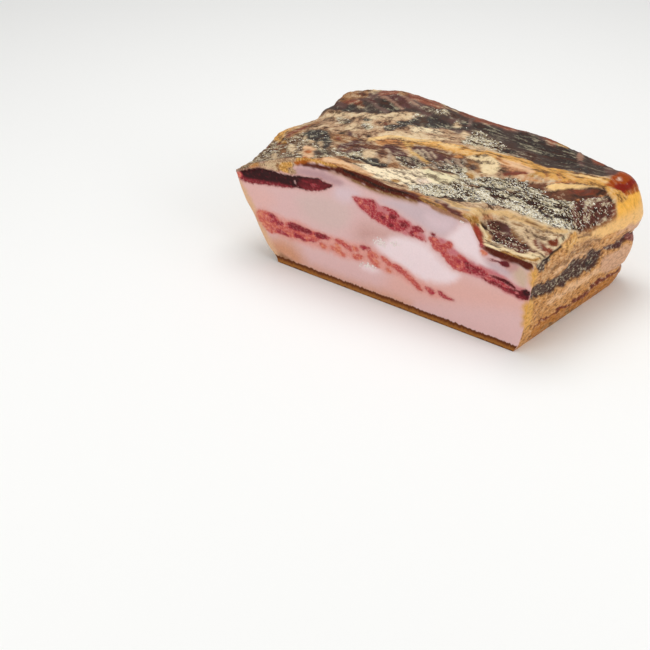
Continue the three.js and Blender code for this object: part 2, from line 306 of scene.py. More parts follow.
# Block of cured belly: what shows on the dried sides
# The muscle has dried nearly black, the fat tan to golden, and mould has dusted both. Where each finish
# ends, it frays along the strands.
# Each finish is its colour, then contrast, mould specks and roughness, then in mm: fibre relief, crumb
# relief, lift, how softly it ends and how much its edge frays.
FINISHES = {
    "tan_crust": ("#b79270", 1.15, 0.15, 0.70, 0.20, 0.30, 0.0, 0.8, 0.7),
    "pale_crust": ("#d3b58f", 1.03, 0.15, 0.70, 0.15, 0.35, 0.1, 0.8, 0.7),
    "cream_crust": ("#e4cda8", 1.17, 0.25, 0.75, 0.15, 0.50, 0.1, 1.0, 0.9),
    "bright_cream": ("#f8e4c0", 0.95, 0.15, 0.70, 0.15, 0.35, 0.1, 0.8, 0.7),
    "cream_fat": ("#e6cc9e", 1.08, 0.12, 0.60, 0.15, 0.30, 0.1, 0.6, 0.6),
    "grey_crust": ("#7e6752", 1.04, 0.35, 0.80, 0.30, 0.50, 0.0, 1.0, 0.9),
    "dark_crust": ("#50443a", 0.84, 0.22, 0.80, 0.40, 0.40, -0.1, 0.7, 0.7),
    "grey_mould": ("#6c6052", 1.3, 0.43, 0.85, 0.20, 0.50, 0.0, 1.0, 1.0),
    "white_mould": ("#585658", 1.96, 0.74, 0.85, 0.20, 0.60, 0.1, 1.3, 1.2),
    "green_mould": ("#e4d6ae", 1.0, 0.25, 0.80, 0.10, 0.35, 0.1, 0.8, 0.7),
    # Pale pink mould, and on the knob a small painted highlight.
    "pink_mould": ("#f0d8c0", 0.6, 0.30, 0.80, 0.10, 0.35, 0.1, 0.6, 0.5),
    "gold_fat": ("#d99e4b", 1.01, 0.00, 0.40, 0.20, 0.10, 0.4, 0.4, 0.5),
    # bright_gold: gold fat, lightened with a painted highlight where its ridges catch the light.
    "bright_gold": ("#f0c684", 0.50, 0.00, 0.38, 0.12, 0.05, 0.5, 0.4, 0.3),
    "pale_gold": ("#d9b178", 0.68, 0.05, 0.45, 0.15, 0.15, 0.2, 0.5, 0.5),
    "gold_crust": ("#cda05c", 1.0, 0.10, 0.55, 0.20, 0.25, 0.1, 0.6, 0.6),
    "amber_fat": ("#f7b64c", 0.35, 0.00, 0.40, 0.12, 0.05, 0.2, 0.8, 0.5),
    "peach_fat": ("#e8b98c", 0.5, 0.00, 0.45, 0.20, 0.05, 0.2, 0.5, 0.4),
    "orange_fat": ("#b35c0c", 0.7, 0.00, 0.45, 0.25, 0.10, 0.0, 0.5, 0.4),
    "orange_crust": ("#bb8258", 1.0, 0.10, 0.60, 0.25, 0.20, 0.1, 0.6, 0.6),
    "ochre_fat": ("#a97630", 1.03, 0.05, 0.50, 0.20, 0.15, 0.0, 0.5, 0.5),
    "rust_fat": ("#bd7b3f", 1.08, 0.00, 0.45, 0.20, 0.05, 0.0, 0.4, 0.3),
    "rust_lean": ("#7f3010", 0.9, 0.00, 0.45, 0.40, 0.20, -0.1, 0.5, 0.4),
    "knob_fat": ("#a04202", 0.4, 0.00, 0.24, 0.05, 0.02, 0.3, 0.7, 0.3),
    "knob_red": ("#861800", 0.4, 0.00, 0.22, 0.05, 0.02, 0.3, 0.6, 0.3),
    "brown_fat": ("#9c6c42", 1.0, 0.06, 0.55, 0.25, 0.20, 0.0, 0.6, 0.6),
    "brown_lean": ("#6d3c20", 1.1, 0.10, 0.55, 0.50, 0.20, -0.2, 0.5, 0.5),
    "maroon_lean": ("#542826", 0.94, 0.08, 0.50, 0.50, 0.20, -0.2, 0.5, 0.5),
    "maroon_dark": ("#7c2c10", 1.0, 0.08, 0.50, 0.30, 0.20, -0.1, 0.4, 0.4),
    "moist_red": ("#a03426", 0.5, 0.00, 0.35, 0.10, 0.05, -0.1, 0.6, 0.4),
    "mauve_roll": ("#5c3f39", 0.49, 0.05, 0.60, 0.35, 0.10, 0.0, 0.8, 0.6),
    "red_roll": ("#8b4a33", 0.75, 0.02, 0.55, 0.35, 0.10, 0.0, 0.7, 0.5),
    "pink_roll": ("#9c6a50", 0.8, 0.02, 0.55, 0.30, 0.10, 0.0, 0.6, 0.5),
    "dark_roll": ("#3e302a", 0.54, 0.10, 0.60, 0.40, 0.20, -0.1, 0.8, 0.7),
    "dark_lean": ("#533f37", 1.2, 0.15, 0.65, 0.45, 0.30, -0.1, 0.6, 0.6),
    "black_lean": ("#221815", 0.85, 0.12, 0.60, 0.40, 0.20, -0.2, 0.5, 0.5),
    "grey_lean": ("#383431", 0.64, 0.28, 0.70, 0.45, 0.30, -0.1, 0.6, 0.6),
    "mouldy_lean": ("#22120e", 1.3, 0.47, 0.75, 0.40, 0.55, 0.0, 1.0, 1.0),
    "speckled_lean": ("#603129", 1.2, 0.33, 0.70, 0.30, 0.55, -0.2, 0.8, 0.8),
    "striped_lean": ("#4a4038", 1.2, 0.35, 0.65, 0.50, 0.35, -0.1, 0.8, 0.8),
    "facet_brown": ("#712700", 0.7, 0.02, 0.50, 0.10, 0.10, -0.2, 0.4, 0.3),
    "tan_line": ("#946e5a", 0.4, 0.00, 0.50, 0.20, 0.05, 0.3, 0.3, 0.3),
    "mauve_line": ("#6a5046", 0.4, 0.00, 0.50, 0.20, 0.05, 0.2, 0.3, 0.3),
    "cream_line": ("#b39980", 0.70, 0.05, 0.60, 0.20, 0.10, 0.3, 0.3, 0.3),
    "orange_line": ("#d49058", 0.5, 0.00, 0.50, 0.20, 0.05, 0.2, 0.3, 0.3),
    "brown_line": ("#8c6238", 0.5, 0.00, 0.50, 0.10, 0.05, -0.3, 0.3, 0.2),
    "dark_line": ("#1e0a02", 0.3, 0.00, 0.55, 0.10, 0.10, -0.4, 0.4, 0.3),
    "flank_fat": ("#cd904f", 0.85, 0.03, 0.50, 0.15, 0.20, 0.0, 1.0, 0.5),
    "flank_low": ("#bb7628", 0.7, 0.02, 0.50, 0.15, 0.20, 0.0, 0.8, 0.5),
    "flank_pink": ("#d2a17d", 0.5, 0.02, 0.50, 0.12, 0.15, 0.0, 1.0, 0.5),
    "pale_flank": ("#e4b384", 0.7, 0.03, 0.50, 0.15, 0.20, 0.1, 1.0, 0.5),
    "flank_red": ("#88453d", 0.8, 0.05, 0.50, 0.30, 0.20, -0.1, 0.6, 0.5),
    "flank_dark": ("#402422", 1.0, 0.10, 0.65, 0.40, 0.35, -0.3, 1.0, 1.0),
    "dried_line": ("#541400", 0.3, 0.0, 0.50, 0.10, 0.10, -0.2, 0.6, 0.7),
    "brown_fringe": ("#b48a74", 0.3, 0.0, 0.50, 0.10, 0.10, 0.0, 1.2, 0.3),
    "cut_fat": ("#e2bab7", 0.12, 0.0, 0.40, 0, 0, 0, 1.0, 0.3),
    "cut_low": ("#e4b2a8", 0.12, 0.0, 0.40, 0, 0, 0, 5.0, 0.3),
    "edge_gold": ("#dca24c", 0.5, 0.0, 0.45, 0.15, 0.05, 0.1, 1.8, 1.2),
    "pale_amber": ("#f2be76", 0.35, 0.00, 0.40, 0.12, 0.05, 0.2, 0.8, 0.5),
    "flank_brown": ("#bf8a56", 0.9, 0.04, 0.50, 0.15, 0.20, 0.0, 2.5, 0.5),
    "cut_cream": ("#d1b49c", 0.15, 0.0, 0.40, 0, 0, 0, 2.0, 0.4),
    "cut_red": ("#c87078", 0.30, 0.0, 0.40, 0, 0, 0, 1.0, 0.6),
    "cut_rosy": ("#e29e92", 0.30, 0.0, 0.40, 0, 0, 0, 1.6, 0.8),
    "cut_violet": ("#ccb2b6", 0.15, 0.0, 0.40, 0, 0, 0, 3.0, 0.4),
    # Dusky pink fat, and on the cut painted shade just above the brighter knife facet.
    "cut_dusky": ("#cfa199", 0.20, 0.0, 0.40, 0, 0, 0, 6.0, 0.4),
    "cut_light": ("#e0c6ca", 0.12, 0.0, 0.40, 0, 0, 0, 3.0, 0.3),
    "cut_grey": ("#dabcb6", 0.12, 0.0, 0.40, 0, 0, 0, 4.0, 0.3),
    "cut_warm": ("#e6b7b0", 0.12, 0.0, 0.40, 0, 0, 0, 4.0, 0.3),
    # Paler fat, and painted light where a second knife stroke left a brighter facet; the cut is built flat.
    "cut_bright": ("#f3dee0", 0.10, 0.0, 0.38, 0, 0, 0, 2.5, 0.6),
    "cut_plum": ("#be979a", 0.15, 0.0, 0.40, 0, 0, 0, 2.0, 0.3),
    "cut_mauve": ("#d2babe", 0.12, 0.0, 0.42, 0, 0, 0, 3.0, 0.3),
    "cut_pink": ("#c89a94", 0.12, 0.0, 0.40, 0, 0, 0, 1.5, 0.3),
    # Tan and brown fat, darkened towards the foot partly by painted shade where the block meets the floor.
    "cut_tan": ("#d69a7a", 0.25, 0.0, 0.45, 0, 0, 0, 4.0, 0.5),
    "cut_brown": ("#a67658", 0.35, 0.0, 0.50, 0, 0, 0, 0.8, 0.5),
    "cut_yellow": ("#e0b38e", 0.25, 0.0, 0.45, 0, 0, 0, 1.2, 0.5),
}
# Where each patch of a finish stands in the view: corners of its outline, across and down, in picture
# pixels. One with a half width, in mm, is a line. Later ones lie over earlier ones.
TOP_MARKS = [
    ("mauve_roll", "336,101 345,88 352,86 400,86 430,95 470,110 540,134 600,157 618,166 616,176 600,176 "
     "575,174 520,159 497,148 475,139 465,136 450,130 428,127 420,113 395,112 375,113 345,112 338,110 "
     "330,112 320,118"),
    ("dark_roll", "318,118 325,108 334,102 345,103 355,100 365,100 372,98 380,98 400,108 412,108 420,110 "
     "424,122 420,113 395,112 375,113 345,112 338,110 330,112"),
    ("black_lean", "380,100 386,100 396,105 400,110 386,112 378,107"),
    ("mauve_roll", "333,105 340,102 347,104 345,107 337,108"),
    ("grey_lean", "343,107 350,104 354,107 352,110 345,110"),
    ("brown_lean", "354,100 358,98 362,103 362,108 357,107"),
    ("maroon_lean", "368,96 373,97 377,103 374,105 370,101"),
    ("brown_fat", "340,100 345,92 351,86 367,86 370,92 367,98 358,97 352,100 345,101"),
    ("red_roll", "343,101 349,100 358,99 360,102 346,104"),
    ("brown_lean", "357,87 363,87 366,93 366,97 360,96"),
    ("tan_crust", "353,93 357,92 357,97 353,98"),
    ("pale_crust", "368,86 384,87 384,92 369,95"),
    ("red_roll", "392,86 404,87 404,91 398,94 388,96 374,96"),
    ("maroon_lean", "386,96 396,94 404,97 412,102 412,108 403,108 396,103 388,100"),
    ("tan_line", "383,97 396,104.5 402,109.5", 0.9),
    ("tan_line", "401,95 420,106.5", 0.8),
    ("mauve_line", "366,99 385,111", 0.8),
    ("brown_fat", "395,87 404,87 409,93 406,96 400,95"),
    ("red_roll", "408,88 430,94 500,120 530,130 540,137 528,137 514,134 500,129 488,126 466,118 455,113 "
     "440,110 416,101 407,96"),
    ("brown_lean", "442,103 450,105 460,110 462,115 442,108"),
    ("pink_roll", "432,103 438,104 440,108 434,107"),
    ("dark_roll", "440,107 448,110 460,113 478,123 504,131 520,138 545,147 565,150 590,159 614,171 611,176 "
     "590,176 570,172 525,160 512,155 500,146 490,136 478,131 455,130 440,127 430,126 424,118 430,114 "
     "436,112"),
    ("dark_lean", "422,107 432,106 440,110 462,117 470,121 438,114 426,113"),
    ("grey_mould", "433,109 440,109 452,114 446,116 436,114"),
    ("black_lean", "428,117 436,115 444,119 450,125 448,129 440,126 430,124"),
    ("grey_lean", "424,119 432,119 442,122 448,127 440,128 428,126"),
    ("mauve_roll", "448,118 456,118 462,122 456,126 450,124"),
    ("grey_mould", "450,124 456,121 461,122 464,127 460,128 452,128"),
    ("pale_crust", "452,124 457,122 461,124 463,127 456,128"),
    ("pale_crust", "460,132 464,131 468,133 471,137 466,139 461,138"),
    ("grey_lean", "463,120 470,121 474,125 470,130 464,129"),
    ("mauve_line", "472,119 470,127", 0.9),
    ("black_lean", "474,122 500,131 504,135 496,135 484,131 474,129"),
    ("grey_mould", "470,131 478,131 488,134 516,152 505,153 494,150 474,146 468,143 462,142 466,138"),
    ("white_mould", "462,140 467,140 469,143 464,144"),
    ("pale_crust", "472,144 482,146 488,149 500,152 510,156 500,155 488,152 478,151 471,147"),
    ("dark_lean", "500,146 512,147 524,150 538,155 545,161 535,161 520,158 508,153"),
    ("black_lean", "500,150 506,148 516,150 518,152 508,152"),
    ("black_lean", "512,136 524,136 576,156 578,164 568,167 556,162 545,155 518,145"),
    ("red_roll", "540,138 556,140 560,145 557,149 548,147 542,143"),
    ("ochre_fat", "556,142 563,143 578,149 576,152 567,152 558,149"),
    ("pale_crust", "571,150 576,150 578,153 572,152"),
    ("red_roll", "575,153 583,153 587,156 580,156"),
    ("tan_line", "576,156 582,156 583,161 577,161"),
    ("mauve_roll", "578,162 584,162 584,167 580,166"),
    ("red_roll", "589,156 600,156 603,163 607,167 598,166 592,162"),
    ("grey_lean", "572,166 582,167 590,170 588,175 576,173"),
    ("tan_crust", "310,124 320,119 333,114 343,113 355,113 372,114 385,118 385,124 380,131 370,133 340,130 "
     "330,131"),
    ("pale_crust", "322,120 333,112 343,112 362,114 362,117 338,116 328,120"),
    ("pale_crust", "352,116 362,114 375,114 390,113 410,113 417,114 412,118 396,121 388,119 380,120"),
    ("white_mould", "413,114 419,114 421,116 418,118 414,118"),
    ("grey_crust", "334,118 342,117 352,118 353,123 346,125 338,122"),
    ("dark_crust", "342,119 350,119 352,122 345,124"),
    ("grey_lean", "360,120 365,118 371,120 370,122 362,122"),
    ("grey_mould", "360,124 370,124 371,128 364,128"),
    ("dark_crust", "364,126 369,126 368,128"),
    ("pale_crust", "344,125 358,124 362,128 358,131 346,130"),
    ("rust_lean", "383,122 388,122 388,125 383,125"),
    ("grey_lean", "382,126 388,124 396,126 408,124 410,129 386,131 382,129"),
    ("dark_crust", "384,126 394,126 395,130 386,130"),
    ("grey_lean", "398,121 405,120 414,119 421,115 430,126 426,128 398,124"),
    ("dark_crust", "420,117 425,119 428,125 423,125 418,121"),
    ("cream_crust", "409,127 414,128 418,126 424,126 438,130 443,132 444,135 428,132 418,134 410,132"),
    ("dark_line", "338,132 343,131 346,132 342,134 338,134"),
    ("mauve_roll", "345,131 353,132 353,136 347,136"),
    ("brown_lean", "352,134 357,132 361,134 360,137 354,136"),
    ("brown_fat", "326,134 336,133 356,138 360,142 348,146 336,148 328,144"),
    ("rust_lean", "336,136 340,137 340,140 336,140"),
    ("tan_crust", "328,141 336,142 340,146 334,147 328,146"),
    ("grey_crust", "245,166 256,150 262,148 270,141 276,137 297,135 305,132 312,137 318,140 322,146 "
     "330,147 352,153 356,157 344,158 318,158 296,161 284,161 258,165"),
    ("grey_lean", "305,131 313,128 325,129 331,133 331,146 324,149 318,147 313,142 306,138 300,139"),
    ("grey_lean", "322,131 329,132 329,145 324,145 321,141"),
    ("brown_fat", "284,138 288,132 296,128 312,121 322,120 318,125 308,128 288,138"),
    ("rust_lean", "284,136 290,132 297,130 303,126 309,124 307,128 295,132 288,137"),
    ("gold_fat", "274,139 279,132 288,127 296,121 301,122 293,129 286,133 278,140"),
    ("peach_fat", "303,148 308,146 316,148 317,150 314,153 313,157 308,158 303,156"),
    ("orange_fat", "305,150 312,149 314,152 309,153 305,152"),
    ("orange_fat", "303,155 308,158 311,160 304,160 300,158"),
    ("pale_crust", "300,151 304,150 304,154 301,154"),
    ("ochre_fat", "280,140 286,140 288,142 285,145 281,144"),
    ("rust_lean", "274,141 279,141 279,144 275,144"),
    ("brown_lean", "276,149 287,145.5", 0.8),
    ("pale_crust", "289,145 294,145 297,149 296,153 291,154 289,150"),
    ("pale_crust", "272,155 277,154 278,158 273,159"),
    ("pale_crust", "309,141 314,141 314,144 309,144"),
    ("pale_crust", "303,136 307,135 308,139 304,139"),
    ("pale_crust", "319,141 323,141 323,148 320,148"),
    ("brown_fat", "281,150 286,150 286,154 281,154"),
    ("dark_crust", "266,152 272,152 272,156 267,156"),
    ("dark_line", "260,156 264,156 264,159 261,159"),
    ("dark_crust", "287,153 292,154 291,157 287,157"),
    ("dark_crust", "316,149 328,150 333,154 326,155 316,154"),
    ("mauve_roll", "284,157 290,156 290,160 285,160"),
    ("tan_crust", "366,132 380,128 386,131 400,131 410,132 410,134 398,133 384,134 372,138 366,141 360,139"),
    ("dark_line", "366,136 369,134 372,136 370,138 366,138"),
    ("brown_lean", "340,148 346,144 352,140 358,140 368,140 374,144 378,148 377,151 371,150 364,150 "
     "358,153 350,155 343,153"),
    ("maroon_lean", "335,148 341,144 348,142 357,140 364,142 368,146 365,150 361,152 346,154 338,152"),
    ("brown_lean", "345,150 354,146.5 364,145.5 373,148", 1),
    ("tan_crust", "350,154 372,150 380,150 386,153 396,156 404,160 404,166 376,163 360,158 352,157"),
    ("grey_mould", "336,150 356,154 364,158 366,161 356,160 346,157 336,156"),
    ("rust_fat", "374,142 379,140 388,139 396,140 402,143 407,148 409,152 396,145 388,144 380,146"),
    ("brown_lean", "380,146 390,144 398,146 404,150 408,156 402,157 388,150 381,150"),
    ("maroon_lean", "381,146 390,145 398,148 405,152 406,156 398,157 383,151"),
    ("brown_lean", "375,145 386,155", 1.2),
    ("cream_line", "388,151 390,157 388,162", 0.9),
    ("cream_line", "363,154 369,153 376,154.5", 1),
    ("grey_lean", "364,157 370,156 376,158 381,162 389,164 388,167 378,166 370,164 365,160"),
    ("brown_lean", "374,149 378,147 382,150 385,154 383,158 379,157"),
    ("mouldy_lean", "352,152 360,150 366,151 364,155 357,156 352,155"),
    ("pale_crust", "363,152 369,150 373,152 374,155 369,156 364,155"),
    ("mouldy_lean", "396,157 402,155 409,157 413,160 408,163 401,162"),
    ("dark_line", "353,156 361,158.5 368,162", 0.6),
    ("dark_line", "371,163.5 390,166.5", 0.7),
    ("striped_lean", "393,158 400,156 410,157 414,150 420,156 430,160 444,161 456,160 466,160 470,166 "
     "466,178 460,177 436,168 428,167 418,168 408,166"),
    ("ochre_fat", "402,141 409,142 414,146 413,151"),
    ("maroon_lean", "412,148 420,146 430,147 459,154 465,156 463,160 444,162 426,158 413,151"),
    ("brown_lean", "436,150 450,152 459,154 465,157 462,159 452,158 442,156 434,153"),
    ("rust_fat", "454,154 461,155 465,157 460,159 454,158"),
    ("striped_lean", "414,151 422,153 430,158 438,160 430,163 420,160"),
    ("cream_line", "418,151 424,158", 0.55),
    ("cream_line", "423,150.5 431,158.5", 0.55),
    ("cream_line", "430,162 435,168", 0.55),
    ("cream_line", "437,162 441,167", 0.55),
    ("cream_line", "441,161.5 447,166.5", 0.55),
    ("cream_line", "447,159.5 452,164.5", 0.55),
    ("cream_line", "452,158.5 458,164", 0.55),
    ("cream_line", "456,160 463,167", 0.55),
    ("cream_line", "462,160 466,165", 0.55),
    ("cream_line", "431,153 436,158", 0.55),
    ("cream_line", "414,156 422,163", 0.55),
    ("cream_line", "422,160 428,166", 0.55),
    ("cream_line", "405,158 410,164", 0.55),
    ("white_mould", "462,172 466,170 468,174 465,177 462,176"),
    ("white_mould", "451,169 456,170 456,173 451,172"),
    ("black_lean", "447,170 450,170 450,173 448,173"),
    ("black_lean", "459,168 463,168 462,170 460,170"),
    ("black_lean", "426,169 433,169 435,172 428,171"),
    ("brown_fat", "467,160 472,160 478,162 482,167 481,171 470,171 467,167"),
    ("dark_lean", "469,166 474,165 478,168 476,170 470,170"),
    ("ochre_fat", "467,171 474,172 474,176 469,178 467,175"),
    ("pale_crust", "376,136 382,132 390,130 436,136 447,138 440,141 386,136"),
    # Painted highlight along the gold fat.
    ("bright_gold", "366,141 371,138 388,136 440,141 440,143 418,142 388,139 378,140 372,142"),
    ("gold_crust", "399,140.5 404,143 413,153 427,163", 1),
    ("gold_fat", "412,142 450,142 468,148 488,152 484,154 474,156 466,156 447,150 420,145 412,146 409,143"),
    # Painted highlight on the ridge of the gold seam.
    ("bright_gold", "438,143 446,143 463,148 462,150 454,149 438,145"),
    ("cream_fat", "468,157 476,155 486,154 500,161 504,166 500,171 490,174 480,173 482,169 480,164 474,160"),
    ("dark_line", "476,154 479,154 479,157 476,157"),
    ("green_mould", "420,170 430,170 446,174 464,178 472,179 466,182 454,184 440,184 430,182 422,179"),
    ("bright_cream", "362,164 384,168 396,169 420,169 430,181 440,184 425,185 410,185 392,182 384,179 "
     "375,178 360,168 350,164"),
    ("bright_cream", "365,167 390,171 404,172 412,175 402,177 376,172"),
    ("brown_fat", "386,164 393,162 399,164 398,168 390,168 386,166"),
    ("ochre_fat", "391,178 397,178 401,180 396,182 391,180"),
    ("grey_mould", "396,164 404,163 424,168 418,170 406,168"),
    ("dark_lean", "408,161 414,162 418,166 412,166 407,164"),
    ("dark_line", "390,180.5 392,180.5", 0.6),
    ("dark_line", "405,183 407,183", 0.6),
    ("dark_line", "412,182.5 414,182.5", 0.6),
    ("dark_line", "419,183 421,183", 0.6),
    ("dark_line", "384.5,180 386.5,180", 0.6),
    ("dark_line", "405,177 407,177", 0.6),
    ("dark_line", "414,175 416,175", 0.6),
    ("pink_mould", "414,179 424,178 430,182 428,185 418,184"),
    ("white_mould", "404,184 412,185 440,184 476,186 490,192 486,196 478,199 470,200 460,200 436,197 "
     "428,195 420,192 410,189"),
    ("mouldy_lean", "452,186 470,188 480,191 484,196 474,198 460,194"),
    ("black_lean", "432,196.5 456,198 468,200.5 478,200.5", 0.8),
    ("black_lean", "447,200 456,201 464,200", 0.7),
    ("black_lean", "437,191 442,192.5", 0.7),
    ("grey_mould", "454,178 466,178 480,176 500,177 516,180 530,184 528,190 496,186 480,185 466,186 "
     "454,184"),
    ("mouldy_lean", "476,177 490,176 514,178 526,182 547,191 540,194 508,190 492,190 480,187 474,182"),
    ("brown_fat", "480,173 486,172.5", 0.7),
    ("gold_fat", "480,150 505,154 545,167 575,174 590,177 608,178 616,182 610,188 596,188 585,184 560,182 "
     "548,180 528,173 503,162 492,158"),
    ("peach_fat", "496,158 520,164 530,168 536,174 532,179 524,178 514,172 505,168"),
    ("orange_crust", "500,165 510,166 522,170 536,181 528,181 504,172"),
    # Painted highlight on the gold fat.
    ("bright_gold", "560,172 592,178 604,179 600,181 570,176"),
    ("rust_fat", "498,157 503,162 508,165", 0.9),
    ("rust_lean", "503,173 512,171 526,172 530,174 518,175 505,175"),
    ("ochre_fat", "526,175 533,174 538,175 531,178"),
    ("brown_lean", "524,184 548,182 559,182 556,185 549,186 547,190 540,190"),
    ("rust_fat", "549,183 574,182", 0.7),
    ("rust_fat", "520,180.5 530,179.5 540,181", 0.5),
    ("rust_fat", "543,170 548,176 546,180", 0.5),
    ("rust_fat", "556,173 560,178 560,181", 0.5),
    # Painted highlight on the gold fat.
    ("bright_gold", "546,187 549,185 575,184 590,186 602,188 575,189 565,191 552,191"),
    ("orange_crust", "515,176 523,175 529,178 524,179 517,178"),
    ("mouldy_lean", "478,186 490,189 536,193 545,191 562,191 572,190 585,189 598,190 606,192 612,196 "
     "614,200 616,211 615,216 612,221 606,226 600,229 592,232 584,232 554,227 540,222 504,204 480,199"),
    ("brown_lean", "538,193 562,191 572,190 585,189 598,190 606,192 612,196 614,201 606,200 590,203 "
     "578,203 542,196"),
    ("rust_lean", "566,191 574,190 599,190 600,192 592,195 580,196 570,195"),
    ("orange_line", "578,199.5 588,200 596,198 602,195.5", 0.6),
    ("black_lean", "597,200 603,196 610,196 614,200 610,204 603,204 597,202"),
    ("orange_line", "600,205.5 606,206 611,203.5", 0.6),
    ("maroon_dark", "608,204 614,203 616,211 615,216 612,221 606,226 600,229 592,231 588,229 596,226 "
     "602,221 606,216"),
    ("speckled_lean", "560,204 580,204 598,205 607,209 606,216 601,222 592,227 580,228 568,226 575,218 "
     "570,210"),
    ("mouldy_lean", "528,201 545,200 575,206 585,209 575,212 560,210 545,210 532,207"),
    ("white_mould", "478,190 488,190 495,196 505,200 518,203 572,224 571,229 555,226 540,221 512,208 "
     "488,203 476,199 470,194"),
    ("black_lean", "480,185 513,188 505,190 492,190 482,188"),
    ("black_lean", "493,195 505,196.5", 0.8),
    ("black_lean", "508,196 521,197.5", 0.7),
    ("black_lean", "529,204 534,203 535,207 530,206"),
    ("black_lean", "537,209 545,215.5 553,218.5", 0.7),
    ("black_lean", "548,205 556,207.5 566,207", 0.8),
    ("black_lean", "556,215 566,218.5 578,220.5 590,221", 0.7),
    ("pale_crust", "596,207 600,208", 0.7),
    ("knob_fat", "612,178 612,171 618,165 628,168 640,182 640,190 632,190 626,191 621,194 611,186 604,186"),
    ("knob_red", "612,187 615,183 619,182 622,184 633,180 635,184 630,188 624,190 621,194"),
    ("mauve_roll", "606,167 614,164 622,166 620,173 614,176 608,173"),
    # Painted highlight on the glossy knob.
    ("pink_mould", "617,177 619,177 620,180 617,180"),
    ("amber_fat", "617,194 642,188 648,205 648,222 630,240 606,240 590,243 585,240 592,235 607,226 613,222 "
     "616,216 616,208 616,202"),
    ("orange_fat", "621,194 628,191 636,189 638,192 632,194 624,196"),
    ("ochre_fat", "613,196 618,196 620,199 615,200"),
    ("brown_fat", "336,156 356,160 362,164 352,164 334,158"),
    ("rust_fat", "296,161 318,158 332,158 342,161 362,170 374,180 396,188 414,192 450,204 462,208 470,213 "
     "480,217 486,221 480,224 470,226 430,208 370,184 350,174 310,162"),
    ("orange_fat", "296,162 304,160 312,160 312,162 297,165"),
    ("pale_gold", "330,160 340,162 350,165 358,168 364,172 358,172 346,166 334,163"),
    ("dark_line", "276,161 284,160 300,160 298,162 282,163 277,164"),
    ("pale_gold", "425,194 458,204 470,208 498,212 512,217 500,219 490,216 482,218 474,216 464,211 430,198"),
    ("cream_line", "430,197.5 440,201 450,206.5 470,212", 0.7),
    ("ochre_fat", "427,198 434,199 440,202 438,205 430,203"),
    ("dark_line", "435,200.5 438,202.5", 0.8),
    ("gold_fat", "464,213 480,218 487,222 482,224 474,222 466,218"),
    ("pale_crust", "466,204 480,206 512,210 525,214 540,222 555,227 580,231 582,237 568,240 560,252 "
     "545,262 530,262 500,252 484,240 478,226 482,217 490,213"),
    ("pale_gold", "480,208 512,212 540,224 556,228 570,231 566,234 550,232 536,228 508,219 482,212"),
    ("brown_line", "512,217 538,225 552,228.5", 0.45),
    ("brown_line", "500,218.5 512,222 522,227", 0.45),
    ("brown_line", "541,234.5 560,236", 0.45),
    ("brown_line", "528,230 538,232 546,231.5", 0.4),
    ("pale_crust", "513,224 519,227 532,236 538,238 530,240 524,238 514,229"),
    ("orange_crust", "482,218 485,214 489,213 494,216 497,220 484,220"),
    ("speckled_lean", "487,222 492,220 500,221 510,226 516,234 526,241 533,249 540,251 530,253 520,253 "
     "514,250 498,246 493,243 491,238"),
    ("maroon_lean", "500,222 507,224 511,228 510,236 505,237 500,230"),
    ("brown_line", "512,230 517,237 524,243", 0.7),
    ("cream_fat", "477,223 484,225 488,229 490,235 491,240 495,244 502,247 522,253 546,255 548,258 530,262 "
     "518,259 490,249 480,244 477,234"),
    ("ochre_fat", "500,250 520,256 532,258 544,258 540,260 526,261 500,253"),
    ("ochre_fat", "487,232 490,241", 0.6),
    ("dark_line", "482.5,222 487,228.5", 0.7),
    ("dark_line", "491,243.5 496,246.5 500,247.5", 0.5),
    ("facet_brown", "533,238 543,242 547,246 549,250 541,250 535,246 533,242"),
    ("facet_brown", "546,242 552,240 558,239 559,243 557,248 553,248 548,244"),
    ("cream_line", "537,239 541,249", 0.6),
    ("maroon_dark", "543,246 559,251 553,255 547,255 546,251"),
    ("green_mould", "559,238 566,236 567,239 563,246 560,248"),
    ("rust_lean", "568,236 573,236 572,239 569,240"),
    ("gold_fat", "566,234 572,232 578,233 579,238 574,242 572,238"),
    ("dark_line", "568,240.5 559,252 553,256.5 545,261", 1),
    ("speckled_lean", "575,200 590,197 604,196 612,202 614,212 606,224 594,231 584,233 576,226 571,214"),
    ("gold_fat", "604,186 614,188 622,192 627,198 621,203 614,200 609,194"),
    ("cut_dusky", "428,202 440,207 464,221 462,225 450,221 428,208"),
    ("dried_line", "437,202 446,204 466,216 464,219 457,216 441,207"),
    ("ochre_fat", "462,213 478,218 484,223 480,225 464,220"),
    ("moist_red", "472,224 477,225 480,230 483,236 484,243 481,248 473,230"),
    ("peach_fat", "326,160 340,162.5 352,166 372,174.5", 1.3),
    ("dried_line", "297,164 304,162 310,162 328,166 344,168 366,175 372,178 380,181 392,187 414,193 "
     "427,200 431,204 424,203 377,190 362,184 346,176 330,170 302,166"),
    ("dark_line", "344,170.5 376,185.5 384,188.5 408,193", 0.7),
    ("ochre_fat", "418,196 428,199 448,209 446,213 438,211 422,200"),
]
